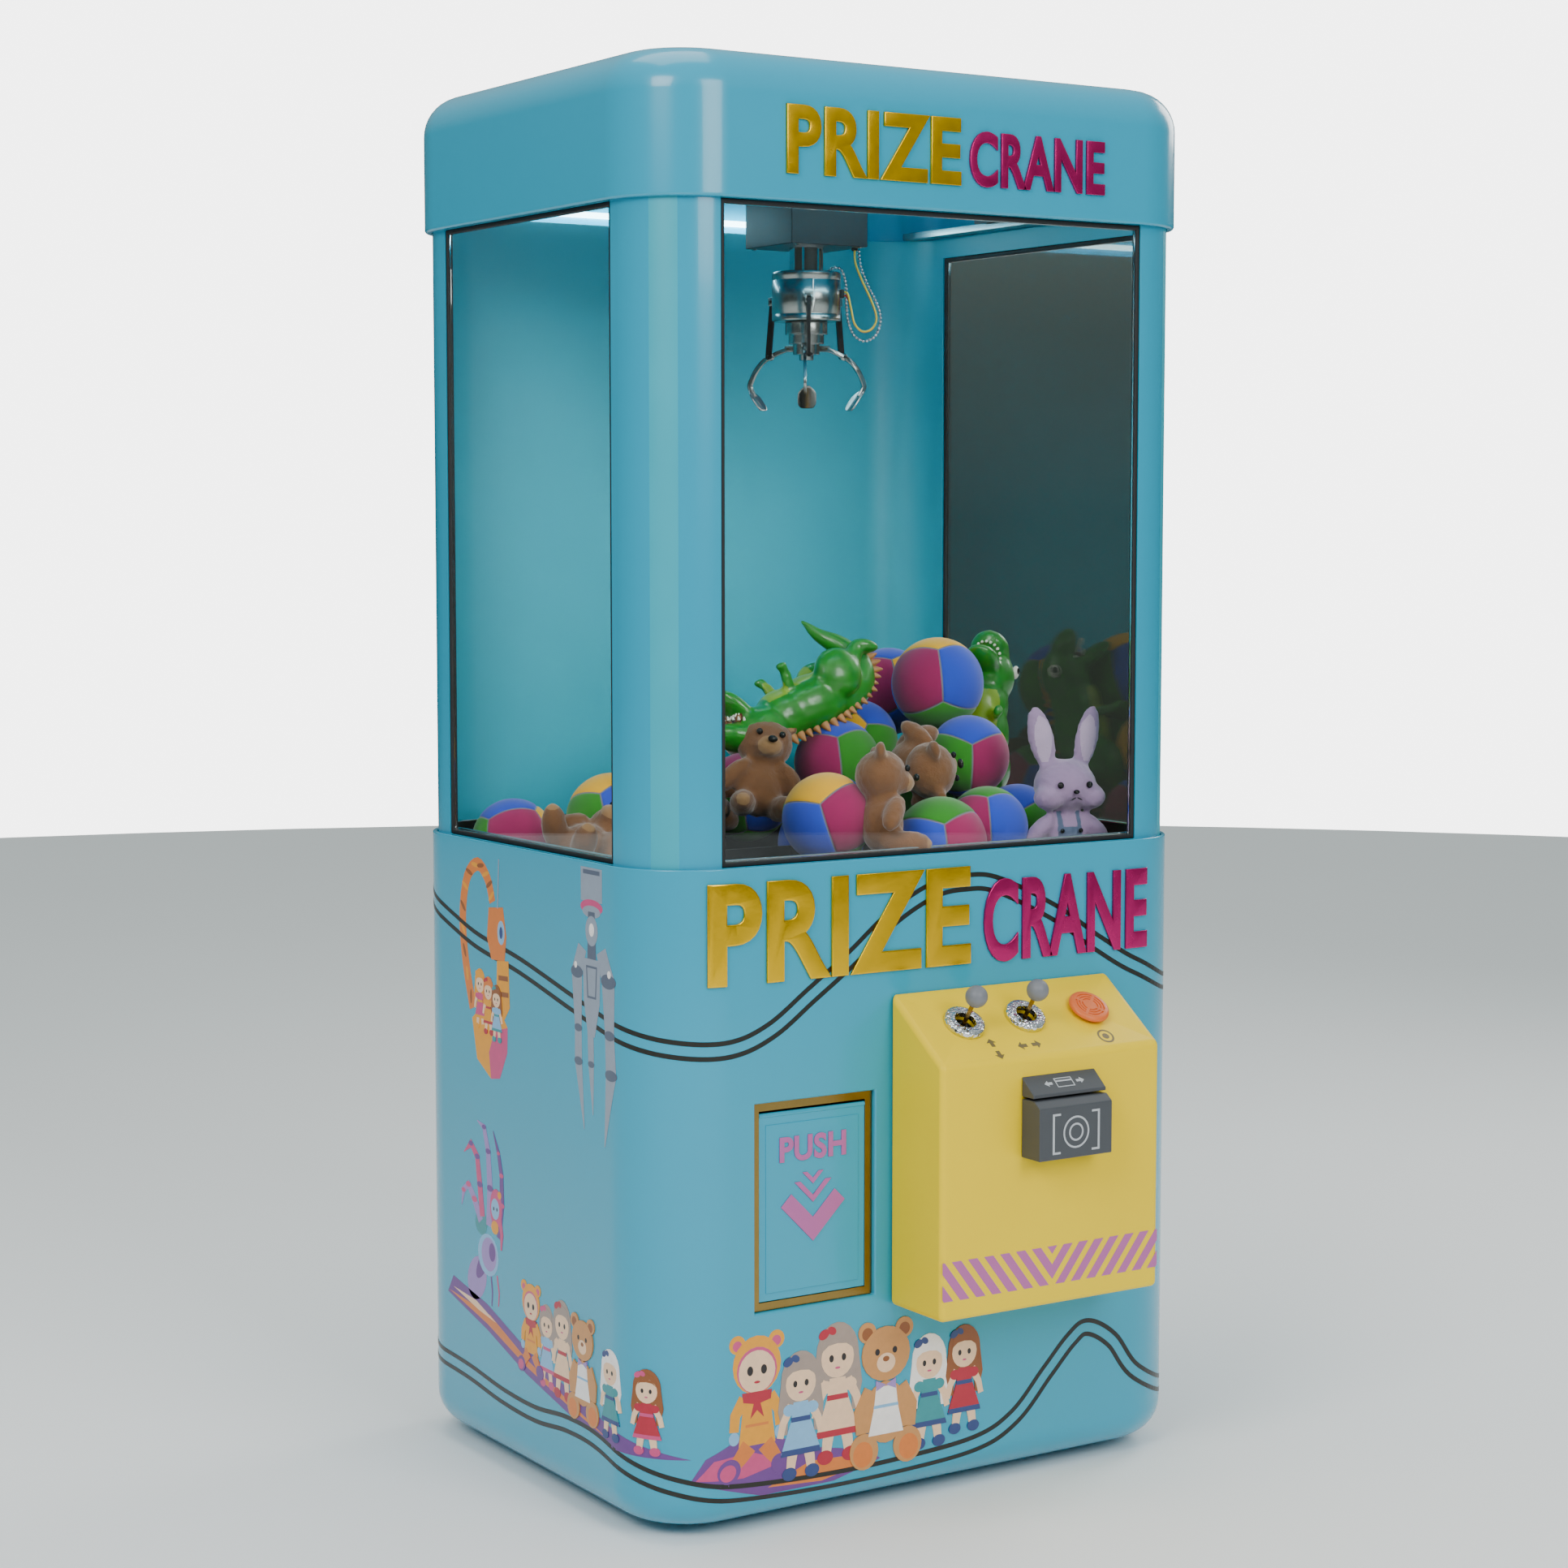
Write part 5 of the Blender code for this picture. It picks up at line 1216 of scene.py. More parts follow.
def beside_claw(points, aside):
    out, over = Vector((math.cos(LEAD_AZIMUTH), math.sin(LEAD_AZIMUTH), 0)), Vector((0, 0, 1))
    sideways = Vector((-out.y, out.x, 0)) * aside
    return [AXIS @ (out * r + over * z + sideways) for r, z in points]


def line_length(points):
    return sum((b - a).length for a, b in zip(points, points[1:]))


def make_leads():
    """Two solenoid leads and a ball chain, from the trolley's underside to the head."""
    top = 1.6897
    for name, finish, slot, aside, z in (("claw_wire_red", RED_PVC, "red_wire", 0.004, 1.6245),
                                         ("claw_wire_yellow", YELLOW_PVC, "yellow_wire", -0.004, 1.6285)):
        route = [(0.068, top), (0.069, 1.670), (0.078, 1.646), (0.092, 1.616), (0.099, 1.592),
                 (0.092, 1.577),
                 (0.079, 1.574), (0.068, 1.585), (0.063, 1.606), (0.058, z - 0.002), (0.0493, z)]
        path = through(beside_claw(route, aside), 8)
        lead = tube_along(name + "_lead", path, 0.0014, finish, sides=10)
        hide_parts(name)
        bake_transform(lead)
    route = [(0.074, top), (0.077, 1.666), (0.088, 1.638), (0.101, 1.611), (0.105, 1.590), (0.098, 1.569),
             (0.082, 1.561), (0.067, 1.570), (0.059, 1.590), (0.0565, 1.615), (0.0560, 1.640),
             (0.050, 1.6605),
             (0.040, 1.6640), (0.032, 1.6595)]
    path = through(beside_claw(route, 0.012), 10)
    core = tube_along("chain_core", path, 0.0008, NICKEL, sides=8)
    total, pitch = line_length(path), 0.0052
    spots, travelled, goal = [], 0.0, 0.0026
    for a, b in zip(path, path[1:]):
        span = (b - a).length
        while travelled + span >= goal:
            spots.append((a.lerp(b, (goal - travelled) / span), b - a))
            goal += pitch
        travelled += span
    ball = turned("bead", [(0, 0.0024), (0.0012, 0.0021), (0.0021, 0.0012), (0.0024, 0), (0.0021, -0.0012),
                           (0.0012, -0.0021), (0, -0.0024)], Matrix(), CHROME, steps=12)
    beads = repeated("chain_beads", spots, ball, CHROME)
    chain = united_plain("claw_chain", core, beads)
    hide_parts("claw_spring_cable")
    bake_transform(chain)
    # Grommets where the leads leave the trolley, and a plug on the side of the head.
    grommet = rounded([(0.0016, 0.0004), (0.0032, 0.0004), (0.0046, -0.0003), (0.0046, -0.0022),
                       (0.0030, -0.0034),
                       (0.0016, -0.0034)], 0.0005)
    for r, aside in ((0.068, 0.004), (0.068, -0.004), (0.074, 0.012)):
        spot = beside_claw([(r, 1.690)], aside)[0]
        if spot.x < TROLLEY_HIGH.x and spot.y > TROLLEY_LOW.y:
            keep(turned("lead_grommet", grommet, Matrix.Translation(spot), RUBBER, steps=24, ring=True),
                 "trolley")
    plug = box("lead_plug", (HEAD_R - 0.0008, -0.0075, 1.6205), (HEAD_R + 0.0050, 0.0075, 1.6325),
               BLACK_ABS)
    plug = eased(plug, 0.0014, 3)
    plug.data.transform(AXIS @ Matrix.Rotation(LEAD_AZIMUTH, 4, "Z"))
    keep(plug, "claw")


def united_plain(name, *things):
    """Several pieces as one mesh, each keeping its finish."""
    shape = bmesh.new()
    finishes = []
    for thing in things:
        finish = thing.data.materials[0]
        if finish not in finishes:
            finishes.append(finish)
        first = len(shape.faces)
        shape.from_mesh(thing.data)
        shape.faces.ensure_lookup_table()
        for face in shape.faces[first:]:
            face.material_index = finishes.index(finish)
        bpy.data.objects.remove(thing, do_unlink=True)
    return smooth(from_bmesh(name, shape, *finishes), 40)


make_gantry()
make_lamps()
make_claw_head()
make_plunger()
for number in (1, 2, 3):
    make_arm(number)
    make_strut(number)
make_leads()


# ---------------------------------------------------------------- soft prizes
def cloth_finish(name, colour, nap_mm, nap, patch=0.08, roughness=0.92, sheen=0.4):
    """Napped cloth: matt, with a soft sheen at its edges and a raised nap."""
    made = material(name, colour, roughness, patch_mm=14, patch=patch, grain_mm=nap_mm, grain=nap,
                    spread=0.04)
    shader = made.node_tree.nodes["Principled BSDF"]
    shader.inputs["Sheen Weight"].default_value = sheen
    shader.inputs["Sheen Roughness"].default_value = 0.5
    return made


# Short plush, brushed acrylic pile about 2 mm long: deep matt brown, cloudy where the pile turns.
PLUSH_BROWN = cloth_finish("short_plush_brown", "6A4424", 2.2, 0.7, 0.16)
PLUSH_TAN = cloth_finish("short_plush_tan", "8E6A42", 2.0, 0.5, 0.10)
PLUSH_LILAC = cloth_finish("short_plush_lilac", "8C7494", 2.0, 0.5, 0.10)
PLUSH_PALE = cloth_finish("short_plush_pale_lilac", "A894AC", 2.0, 0.4, 0.08)
# Wool felt panels, pressed: flat, with fine loose hairs.
FELT = [cloth_finish("wool_felt_" + name, colour, 1.0, 0.15, 0.06, 0.95, 0.25)
        for name, colour in (("blue", "2340B4"), ("magenta", "8E124E"), ("green", "247A12"),
                             ("yellow", "DFA300"))]
SEAM_THREAD = cloth_finish("cotton_seam_grey", "6C6C74", 1.0, 0.2)
DENIM = cloth_finish("cotton_twill_slate", "4A5872", 0.9, 0.15, 0.12, 0.85, 0.2)
# Soft vinyl, rotational moulded and lacquered: glossy green with small pores.
VINYL_GREEN = material("soft_vinyl_green", "1B7A17", 0.30, patch_mm=22, patch=0.25, grain_mm=2.5,
                       grain=0.22,
                       Coat_Weight=0.5, Coat_Roughness=0.15)
VINYL_BELLY = material("soft_vinyl_lime", "7FA11E", 0.32, patch_mm=18, patch=0.15, grain_mm=2.5, grain=0.18,
                       Coat_Weight=0.4, Coat_Roughness=0.2)
VINYL_HORN = material("soft_vinyl_tan", "A5713A", 0.45, patch_mm=8, patch=0.2, grain_mm=2.0, grain=0.15)
TOOTH = material("soft_vinyl_white", "E9E6D6", 0.35, patch_mm=6, patch=0.05, grain_mm=1.0, grain=0.02)
MOUTH = material("soft_vinyl_dark_red", "5A1216", 0.4, patch_mm=6, patch=0.10, grain_mm=1.0, grain=0.05)
# Safety eyes: polished black acetate.
EYE_BLACK = material("polished_acetate_black", "0B0A0B", 0.08, patch_mm=5, patch=0.1, grain_mm=2.0,
                     grain=0.002)


def blobs(name, parts, *finishes):
    """Overlapping ellipsoids from (centre, half sizes, turn in degrees)."""
    ball = bmesh.new()
    bmesh.ops.create_uvsphere(ball, u_segments=20, v_segments=14, radius=1.0)
    spots, corners = [v.co.copy() for v in ball.verts], [[v.index for v in f.verts] for f in ball.faces]
    ball.free()
    points, faces = [], []
    for part in parts:
        centre, half, turn = part if len(part) == 3 else (*part, (0, 0, 0))
        spin = Euler([math.radians(t) for t in turn]).to_matrix()
        faces += [[i + len(points) for i in face] for face in corners]
        points += [spin @ Vector((p.x * half[0], p.y * half[1], p.z * half[2])) + Vector(centre)
                   for p in spots]
    mesh = bpy.data.meshes.new(name)
    mesh.from_pydata(points, [], faces)
    return to_object(name, mesh, *finishes)


def skin_over(thing, voxel, passes):
    """One even skin over overlapping forms, relaxed where they meet."""
    skin = thing.modifiers.new("skin", "REMESH")
    skin.mode = "VOXEL"
    skin.voxel_size = voxel
    relax = thing.modifiers.new("relax", "SMOOTH")
    relax.factor = 0.5
    relax.iterations = passes
    return applied(thing)


def stuffed(thing, seams, cap=0.006):
    """Fills the skin with wadding: a pressure cloth run that is held along its seams."""
    rest = np.array([v.co for v in thing.data.vertices])
    held = thing.vertex_groups.new(name="seams")
    held.add([i for i, p in enumerate(rest) if seams(Vector(p))], 1.0, "REPLACE")
    cloth = thing.modifiers.new("wadding", "CLOTH")
    cloth.settings.use_pressure = True
    cloth.settings.uniform_pressure_force = 4.0
    cloth.settings.effector_weights.gravity = 0.0
    cloth.settings.quality = 4
    cloth.settings.mass = 0.15
    cloth.settings.tension_stiffness = 12.0
    cloth.settings.compression_stiffness = 12.0
    cloth.settings.shear_stiffness = 6.0
    cloth.settings.bending_stiffness = 0.3
    cloth.settings.vertex_group_mass = "seams"
    cloth.collision_settings.use_collision = False
    cloth.point_cache.frame_start = 1
    cloth.point_cache.frame_end = 20
    scene = bpy.context.scene
    for step in range(1, 21):
        scene.frame_set(step)
    seen = thing.evaluated_get(bpy.context.evaluated_depsgraph_get())
    moved = np.array([v.co for v in seen.data.vertices]) - rest
    far = np.linalg.norm(moved, axis=1, keepdims=True)
    moved *= np.minimum(1.0, cap / np.maximum(far, 1e-9))
    thing.modifiers.clear()
    thing.data.vertices.foreach_set("co", (rest + moved).ravel())
    scene.frame_set(1)
    thing.vertex_groups.clear()
    finer = thing.modifiers.new("finer", "SUBSURF")
    finer.levels = finer.render_levels = 1
    made = applied(thing)
    spots = [v.co.copy() for v in made.data.vertices]
    lifts = [n.vector * (noise.noise(p * 420.0) * 0.00035 + noise.noise(p * 130.0) * 0.0007)
             for p, n in zip(spots, made.data.vertex_normals)]
    made.data.vertices.foreach_set("co", [c for p, lift in zip(spots, lifts) for c in p + lift])
    return smooth(made, 180)


def painted(thing, *rules):
    """Gives faces a finish by where they lie: each rule is (index, test of the face's centre)."""
    for face in thing.data.polygons:
        for index, test in rules:
            if test(face.center):
                face.material_index = index
    return thing


def inside(point, centre, half):
    return sum(((p - c) / h) ** 2 for p, c, h in zip(point, centre, half)) < 1


def make_bear():
    """Seated bear, about 190 mm: stuffed plush with a paler muzzle and soles."""
    parts = [((0, 0, 0.052), (0.041, 0.036, 0.036)), ((0, 0, -0.012), (0.035, 0.030, 0.042)),
             ((0, -0.031, 0.043), (0.020, 0.015, 0.015))]
    for s in (-1, 1):
        parts += [((s * 0.034, 0.004, 0.083), (0.0145, 0.008, 0.0145)),
                  ((s * 0.043, -0.012, -0.002), (0.0145, 0.0145, 0.033), (20, s * -38, 0)),
                  ((s * 0.029, -0.030, -0.043), (0.0185, 0.036, 0.0185), (0, 0, s * 12))]
    skin = skin_over(blobs("bear", parts, PLUSH_BROWN, PLUSH_TAN), 0.0045, 6)
    bear = stuffed(skin, lambda p: abs(p.x) < 0.002 or abs(p.z - 0.021) < 0.003)
    painted(bear, (1, lambda p: inside(p, (0, -0.040, 0.042), (0.019, 0.014, 0.0145))),
            (1, lambda p: any(inside(p, (s * 0.037, -0.068, -0.043), (0.014, 0.014, 0.014))
                              for s in (-1, 1))),
            (1, lambda p: any(inside(p, (s * 0.034, -0.004, 0.084), (0.009, 0.006, 0.009))
                              for s in (-1, 1))))
    hard = [((s * 0.0165, -0.0345, 0.061), (0.0046, 0.0036, 0.0046)) for s in (-1, 1)]
    hard.append(((0, -0.0485, 0.050), (0.0070, 0.0042, 0.0050)))
    return bear, smooth(blobs("bear_eyes", hard, EYE_BLACK), 180)


def make_bunny():
    """Seated rabbit with long ears, full cheeks and slate twill dungarees."""
    parts = [((0, 0, 0.040), (0.047, 0.040, 0.038)), ((0, 0, -0.034), (0.032, 0.027, 0.040))]
    for s in (-1, 1):
        parts += [((s * 0.033, -0.018, 0.024), (0.023, 0.021, 0.018)),
                  ((s * 0.026 + s * 0.010, 0.004, 0.108), (0.0205, 0.0085, 0.049), (0, s * 14, s * 10)),
                  ((s * 0.042, -0.010, -0.022), (0.0135, 0.0135, 0.030), (0, s * -48, 0)),
                  ((s * 0.024, -0.022, -0.070), (0.017, 0.032, 0.016))]
    skin = skin_over(blobs("bunny", parts, PLUSH_LILAC, PLUSH_PALE, DENIM), 0.0045, 5)
    bunny = stuffed(skin, lambda p: abs(p.x) < 0.002 or abs(p.z - 0.006) < 0.003)

    def ear_face(p):
        return p.y < -0.001 and p.z > 0.075 and any(
            inside(p, (s * 0.036, 0, 0.108), (0.014, 0.03, 0.040)) for s in (-1, 1))

    def clothed(p):
        bib = abs(p.x) < 0.019 and p.y < 0 and p.z < -0.018
        strap = 0.011 < abs(p.x) < 0.018 and p.z < 0.004
        return abs(p.x) < 0.036 and (p.z < -0.034 or bib or strap)
    painted(bunny, (1, ear_face), (2, clothed))
    hard = [((0, -0.0425, 0.0335), (0.0046, 0.0030, 0.0032))]
    for s in (-1, 1):
        hard += [((s * 0.0225, -0.0370, 0.043), (0.0048, 0.0036, 0.0048)),
                 ((s * 0.0145, -0.0262, -0.024), (0.0034, 0.0020, 0.0034)),
                 ((s * 0.0050, -0.0425, 0.0235), (0.0045, 0.0012, 0.0010), (0, s * 25, 0))]
    return bunny, smooth(blobs("bunny_eyes", hard, EYE_BLACK), 180)


def make_dinosaur():
    """A plain round-snouted dinosaur that lies on its back: belly up, head at its left, tail raised."""
    parts = [((0.000, 0, 0), (0.066, 0.044, 0.043)), ((-0.048, 0, -0.002), (0.044, 0.038, 0.039)),
             ((-0.092, 0, -0.012), (0.044, 0.041, 0.037)), ((-0.132, 0, -0.008), (0.034, 0.031, 0.019),
                                                            (0, 32, 0)),
             ((-0.114, 0, 0.032), (0.037, 0.027, 0.013), (0, 62, 0))]
    for s in (-1, 1):
        parts += [((0.046, s * 0.033, 0.024), (0.037, 0.023, 0.037)),
                  ((0.078, s * 0.033, 0.036), (0.014, 0.012, 0.026), (0, 40, 0)),
                  ((0.104, s * 0.035, 0.046), (0.023, 0.014, 0.010), (0, 30, 0)),
                  ((-0.034, s * 0.030, 0.042), (0.009, 0.008, 0.020), (s * -20, 0, 0)),
                  ((-0.038, s * 0.038, 0.060), (0.011, 0.008, 0.007)),
                  ((-0.098, s * 0.026, -0.026), (0.014, 0.010, 0.010))]
    tail = through([(0.050, 0, -0.004), (0.086, 0, 0.006), (0.100, 0, 0.032), (0.086, 0, 0.064),
                    (0.062, 0, 0.090),
                    (0.048, 0, 0.116)], 5)
    for i, spot in enumerate(tail):
        girth = 0.031 * (1 - i / len(tail)) + 0.0035
        parts.append((spot, (girth, girth * 0.9, girth)))
    skin = skin_over(blobs("dinosaur", parts, VINYL_GREEN, VINYL_BELLY, MOUTH), 0.0045, 4)
    finer = skin.modifiers.new("finer", "SUBSURF")
    finer.levels = finer.render_levels = 1
    body = smooth(applied(skin), 180)
    painted(body, (1, lambda p: p.z > 0.020 and abs(p.y) < 0.030 and -0.072 < p.x < 0.036),
            (2, lambda p: -0.125 < p.x < -0.090 and 0.0 < p.z < 0.020 and abs(p.y) < 0.018))
    ridge = through([(-0.092, -0.016, -0.041), (-0.060, -0.022, -0.040), (-0.020, -0.024, -0.040),
                     (0.025, -0.022, -0.037), (0.060, -0.018, -0.028), (0.098, -0.010, -0.010),
                     (0.124, 0, 0.014), (0.126, 0, 0.044)], 3)
    spots = []
    for i, spot in enumerate(ridge):
        along = (ridge[min(i + 1, len(ridge) - 1)] - ridge[max(i - 1, 0)]).normalized()
        out = Vector((along.z, -0.45, -along.x)).normalized()
        spots.append((spot - out * 0.002, out))
    horn = turned("horn", [(0, 0.0140), (0.0020, 0.0115), (0.0048, 0.0040), (0.0058, 0.0), (0, 0)],
                  Matrix(),
                  VINYL_HORN, steps=10)
    horns = repeated("dinosaur_spikes", spots, horn, VINYL_HORN, 1.0, 0.15)
    teeth_at = []
    for k in range(11):
        angle = math.radians(-90 + 18 * k)
        dx, dy = math.cos(angle), math.sin(angle)
        teeth_at.append(((-0.120 - 0.023 * dx, 0.021 * dy, 0.008 + 0.012 * dx), (0.3, 0, 1)))
        teeth_at.append(((-0.106 - 0.018 * dx, 0.018 * dy, 0.024 - 0.002 * dx), (-0.8, 0, -0.5)))
    tooth = turned("tooth", [(0, 0.0064), (0.0012, 0.0046), (0.0022, 0.0), (0, 0)], Matrix(), TOOTH,
                   steps=8)
    teeth = repeated("dinosaur_teeth", teeth_at, tooth, TOOTH)
    whites = blobs("dinosaur_eye_whites", [((-0.104, s * 0.0385, -0.024), (0.0100, 0.0050, 0.0092))
                                           for s in (-1, 1)], TOOTH)
    pupils = blobs("dinosaur_pupils", [((-0.106, s * 0.0425, -0.023), (0.0052, 0.0022, 0.0052))
                                       for s in (-1, 1)],
                   EYE_BLACK)
    return body, united_plain("dinosaur_trim", horns, teeth, whites, pupils)


def make_ball_design():
    """Stuffed felt ball of six panels with sewn seams, 1 unit in radius."""
    steps = [-1.0, -0.975, -0.95] + [-0.9 + 1.8 * i / 13 for i in range(14)] + [0.95, 0.975, 1.0]
    shape = bmesh.new()
    for side in range(6):
        direction, sign = side // 2, 1 if side % 2 else -1
        grid = []
        for a in steps:
            row = []
            for b in steps:
                u, v = math.tan(a * math.pi / 4), math.tan(b * math.pi / 4)
                point = [0, 0, 0]
                point[direction], point[(direction + 1) % 3], point[(direction + 2) % 3] = sign, u * sign, v
                edge = 1 - max(abs(a), abs(b))
                puff = 1 - 0.035 * math.exp(-edge / 0.035)
                row.append(shape.verts.new(Vector(point).normalized() * puff))
            grid.append(row)
        for i in range(len(steps) - 1):
            for j in range(len(steps) - 1):
                face = shape.faces.new((grid[i][j], grid[i + 1][j], grid[i + 1][j + 1], grid[i][j + 1]))
                rim = i in (0, len(steps) - 2) or j in (0, len(steps) - 2)
                face.material_index = 4 if rim else (1, 2, 0, 0, 2, 3)[side]
    bmesh.ops.remove_doubles(shape, verts=shape.verts, dist=0.001)
    bmesh.ops.recalc_face_normals(shape, faces=shape.faces)
    return smooth(from_bmesh("sewn_ball", shape, *FELT, SEAM_THREAD), 180)


def set_down(design, name, centre, turn, size=1.0):
    """A copy of a toy's piece in its place; turn is in degrees."""
    copy = bpy.data.objects.new(name, design.data.copy())
    bpy.context.scene.collection.objects.link(copy)
    spin = Euler([math.radians(t) for t in turn]).to_matrix().to_4x4()
    place = Matrix.Translation((centre[0], centre[1] + CENTRE_Y, centre[2] + LIFT))
    copy.data.transform(place @ spin @ Matrix.Scale(size, 4))
    keep(copy, "root", "prize_pile" if name == "ball_1" else ())
    return copy


BALLS = (    # centre, radius, turn
    ((0.245, 0.000, 1.069), 0.068, (-14, 8, 14)), ((0.262, 0.150, 1.050), 0.066, (76, 8, 20)),
    ((0.055, -0.020, 0.962), 0.062, (-98, 0, 16)), ((-0.085, -0.205, 0.905), 0.062, (-20, 5, 100)),
    ((0.250, -0.070, 0.966), 0.060, (80, -10, 106)), ((0.072, -0.250, 0.866), 0.064, (172, 0, 108)),
    ((0.196, -0.190, 0.876), 0.058, (165, 10, 12)), ((-0.205, 0.170, 0.880), 0.066, (15, 8, 190)),
    ((0.150, 0.070, 0.985), 0.060, (75, 20, 280)), ((0.020, 0.170, 0.900), 0.066, (10, 80, 20)),
    ((-0.330, 0.235, 0.850), 0.060, (80, 10, 70)), ((0.330, 0.120, 0.900), 0.062, (-12, 170, 15)),
    ((0.310, -0.110, 0.868), 0.058, (85, 10, 195)), ((-0.020, -0.090, 0.858), 0.060, (5, 95, 100)),
)
BEARS = (    # centre, turn
    ((0.105, -0.140, 0.962), (80, -100, 0)), ((-0.035, -0.262, 0.912), (0, 10, 62)),
    ((-0.085, -0.035, 0.945), (-15, 10, -20)), ((-0.150, 0.055, 0.935), (10, -25, -40)),
    ((-0.290, 0.085, 0.856), (-75, 20, -70)), ((-0.100, 0.130, 0.905), (20, 30, 150)),
    ((0.230, 0.240, 0.960), (60, 0, 10)), ((0.090, 0.250, 0.930), (-20, 0, 30)),
)


def make_prizes():
    """Sets every toy in its place in the heap."""
    ball = make_ball_design()
    for number, (centre, radius, turn) in enumerate(BALLS, 1):
        set_down(ball, f"ball_{number}", centre, turn, radius)
    bear, bear_eyes = make_bear()
    for number, (centre, turn) in enumerate(BEARS, 1):
        set_down(bear, f"bear_{number}", centre, turn, 1.0)
        set_down(bear_eyes, f"bear_eyes_{number}", centre, turn)
    bunny, bunny_eyes = make_bunny()
    for piece, name, fill in ((bunny, "bunny_1", 0.8), (bunny_eyes, "bunny_eyes_1", None)):
        set_down(piece, name, (0.298, -0.236, 0.895), (0, 0, -14), 0.98)
    dinosaur, trim = make_dinosaur()
    for number, centre, turn in ((1, (0.020, 0.000, 1.046), (-22, -16, 0)),
                                 (2, (0.330, 0.010, 0.985), (160, 100, 20))):
        set_down(dinosaur, f"dinosaur_{number}", centre, turn, 1.0)
        set_down(trim, f"dinosaur_trim_{number}", centre, turn)
    for design in (ball, bear, bear_eyes, bunny, bunny_eyes, dinosaur, trim):
        bpy.data.objects.remove(design, do_unlink=True)


make_prizes()


# ---------------------------------------------------------------- printed vinyl on the base
def vinyl(name, colour):
    """Printed vinyl film, satin: flat colour with the faint mottling of ink."""
    return material("printed_vinyl_" + name, colour, 0.34, patch_mm=9, patch=0.10, grain_mm=1.2,
                    grain=0.006)


INK = {name: vinyl(name, colour) for name, colour in (
    ("olive", "14140A"), ("cream", "F0C8A4"), ("honey", "E79A1C"), ("brown", "8A4E22"), ("tan", "C68A4E"),
    ("rose", "C9447A"), ("red", "B01C34"), ("white", "F2ECEA"), ("sky", "7FB4DC"), ("navy", "2B3F78"),
    ("steel", "8E98A8"), ("dark_steel", "525C70"), ("lilac", "9C7FBE"), ("violet", "6A3A86"),
                                                      ("orange", "D8772E"),
    ("teal", "2D8C94"), ("hair", "9C8A80"), ("black", "1C1418"))}


def oval(x, z, wide, high, turn=0.0, steps=20):
    """A flat oval as an outline, turned in degrees."""
    c, s = math.cos(math.radians(turn)), math.sin(math.radians(turn))
    return [(x + wide * math.cos(a) * c - high * math.sin(a) * s, z + wide * math.cos(a) * s
             + high * math.sin(a) * c)
            for a in (2 * math.pi * i / steps for i in range(steps))]


def limb(points, widths):
    """An outline along a route whose half width changes from point to point, with round ends."""
    route = [Vector(p) for p in points]
    one, other = [], []
    for i, spot in enumerate(route):
        along = (route[min(i + 1, len(route) - 1)] - route[max(i - 1, 0)]).normalized()
        side = Vector((-along.y, along.x)) * widths[i]
        one.append(spot + side)
        other.append(spot - side)
    return [tuple(p) for p in one + other[::-1]]


def on_corner(u):
    """Whether a cut is needed at this distance round: it lies on a rounded corner."""
    flat = BASE_X - BASE_CORNER
    return flat - 0.006 < abs(u) < flat + BASE_CORNER * math.pi / 2 + 0.006


def below_fillet(z):
    """Whether a cut is needed at this height."""
    return z < BASE_FILLET + 0.005


# Heights above the skin: the film's underside, its own thickness and what each further print adds.
FILM_UNDER, FILM_THICK, FILM_STEP = 0.00008, 0.00010, 0.000015


def printed(name, layers, origin, scale):
    """Layers of film on the base's skin, one over the next: (ink, outline) pairs in millimetres."""
    inks = sorted({ink for ink, outline in layers})
    shape = bmesh.new()
    for depth, (ink, outline) in enumerate(layers):
        points = [(origin[0] + a * scale * MM, origin[1] + b * scale * MM) for a, b in outline]
        high = FILM_UNDER + FILM_THICK + depth * FILM_STEP
        part = bmesh.new()
        rims = [[part.verts.new((a, b, level)) for a, b in points] for level in (FILM_UNDER, high)]
        part.faces.new(rims[0][::-1])
        part.faces.new(rims[1])
        for i in range(len(points)):
            j = (i + 1) % len(points)
            part.faces.new((rims[0][i], rims[0][j], rims[1][j], rims[1][i]))
        spans = [(min(p[i] for p in points), max(p[i] for p in points)) for i in (0, 1)]
        for (near, far), step, direction, bent in ((spans[0], 0.006, Vector((1, 0, 0)), on_corner),
                                                   (spans[1], 0.005, Vector((0, 1, 0)), below_fillet)):
            for k in range(math.ceil(near / step), math.floor(far / step) + 1):
                if bent(k * step):
                    everything = list(part.verts) + list(part.edges) + list(part.faces)
                    bmesh.ops.bisect_plane(part, geom=everything, plane_co=direction * k * step,
                                           plane_no=direction)
        bmesh.ops.recalc_face_normals(part, faces=part.faces)
        mesh = bpy.data.meshes.new(name)
        for face in part.faces:
            face.material_index = inks.index(ink)
        part.to_mesh(mesh)
        part.free()
        shape.from_mesh(mesh)
        bpy.data.meshes.remove(mesh)
    for vert in shape.verts:
        vert.co = on_base(vert.co.x, vert.co.y, vert.co.z)
    return keep(from_bmesh(name, shape, *(INK[ink] for ink in inks)))


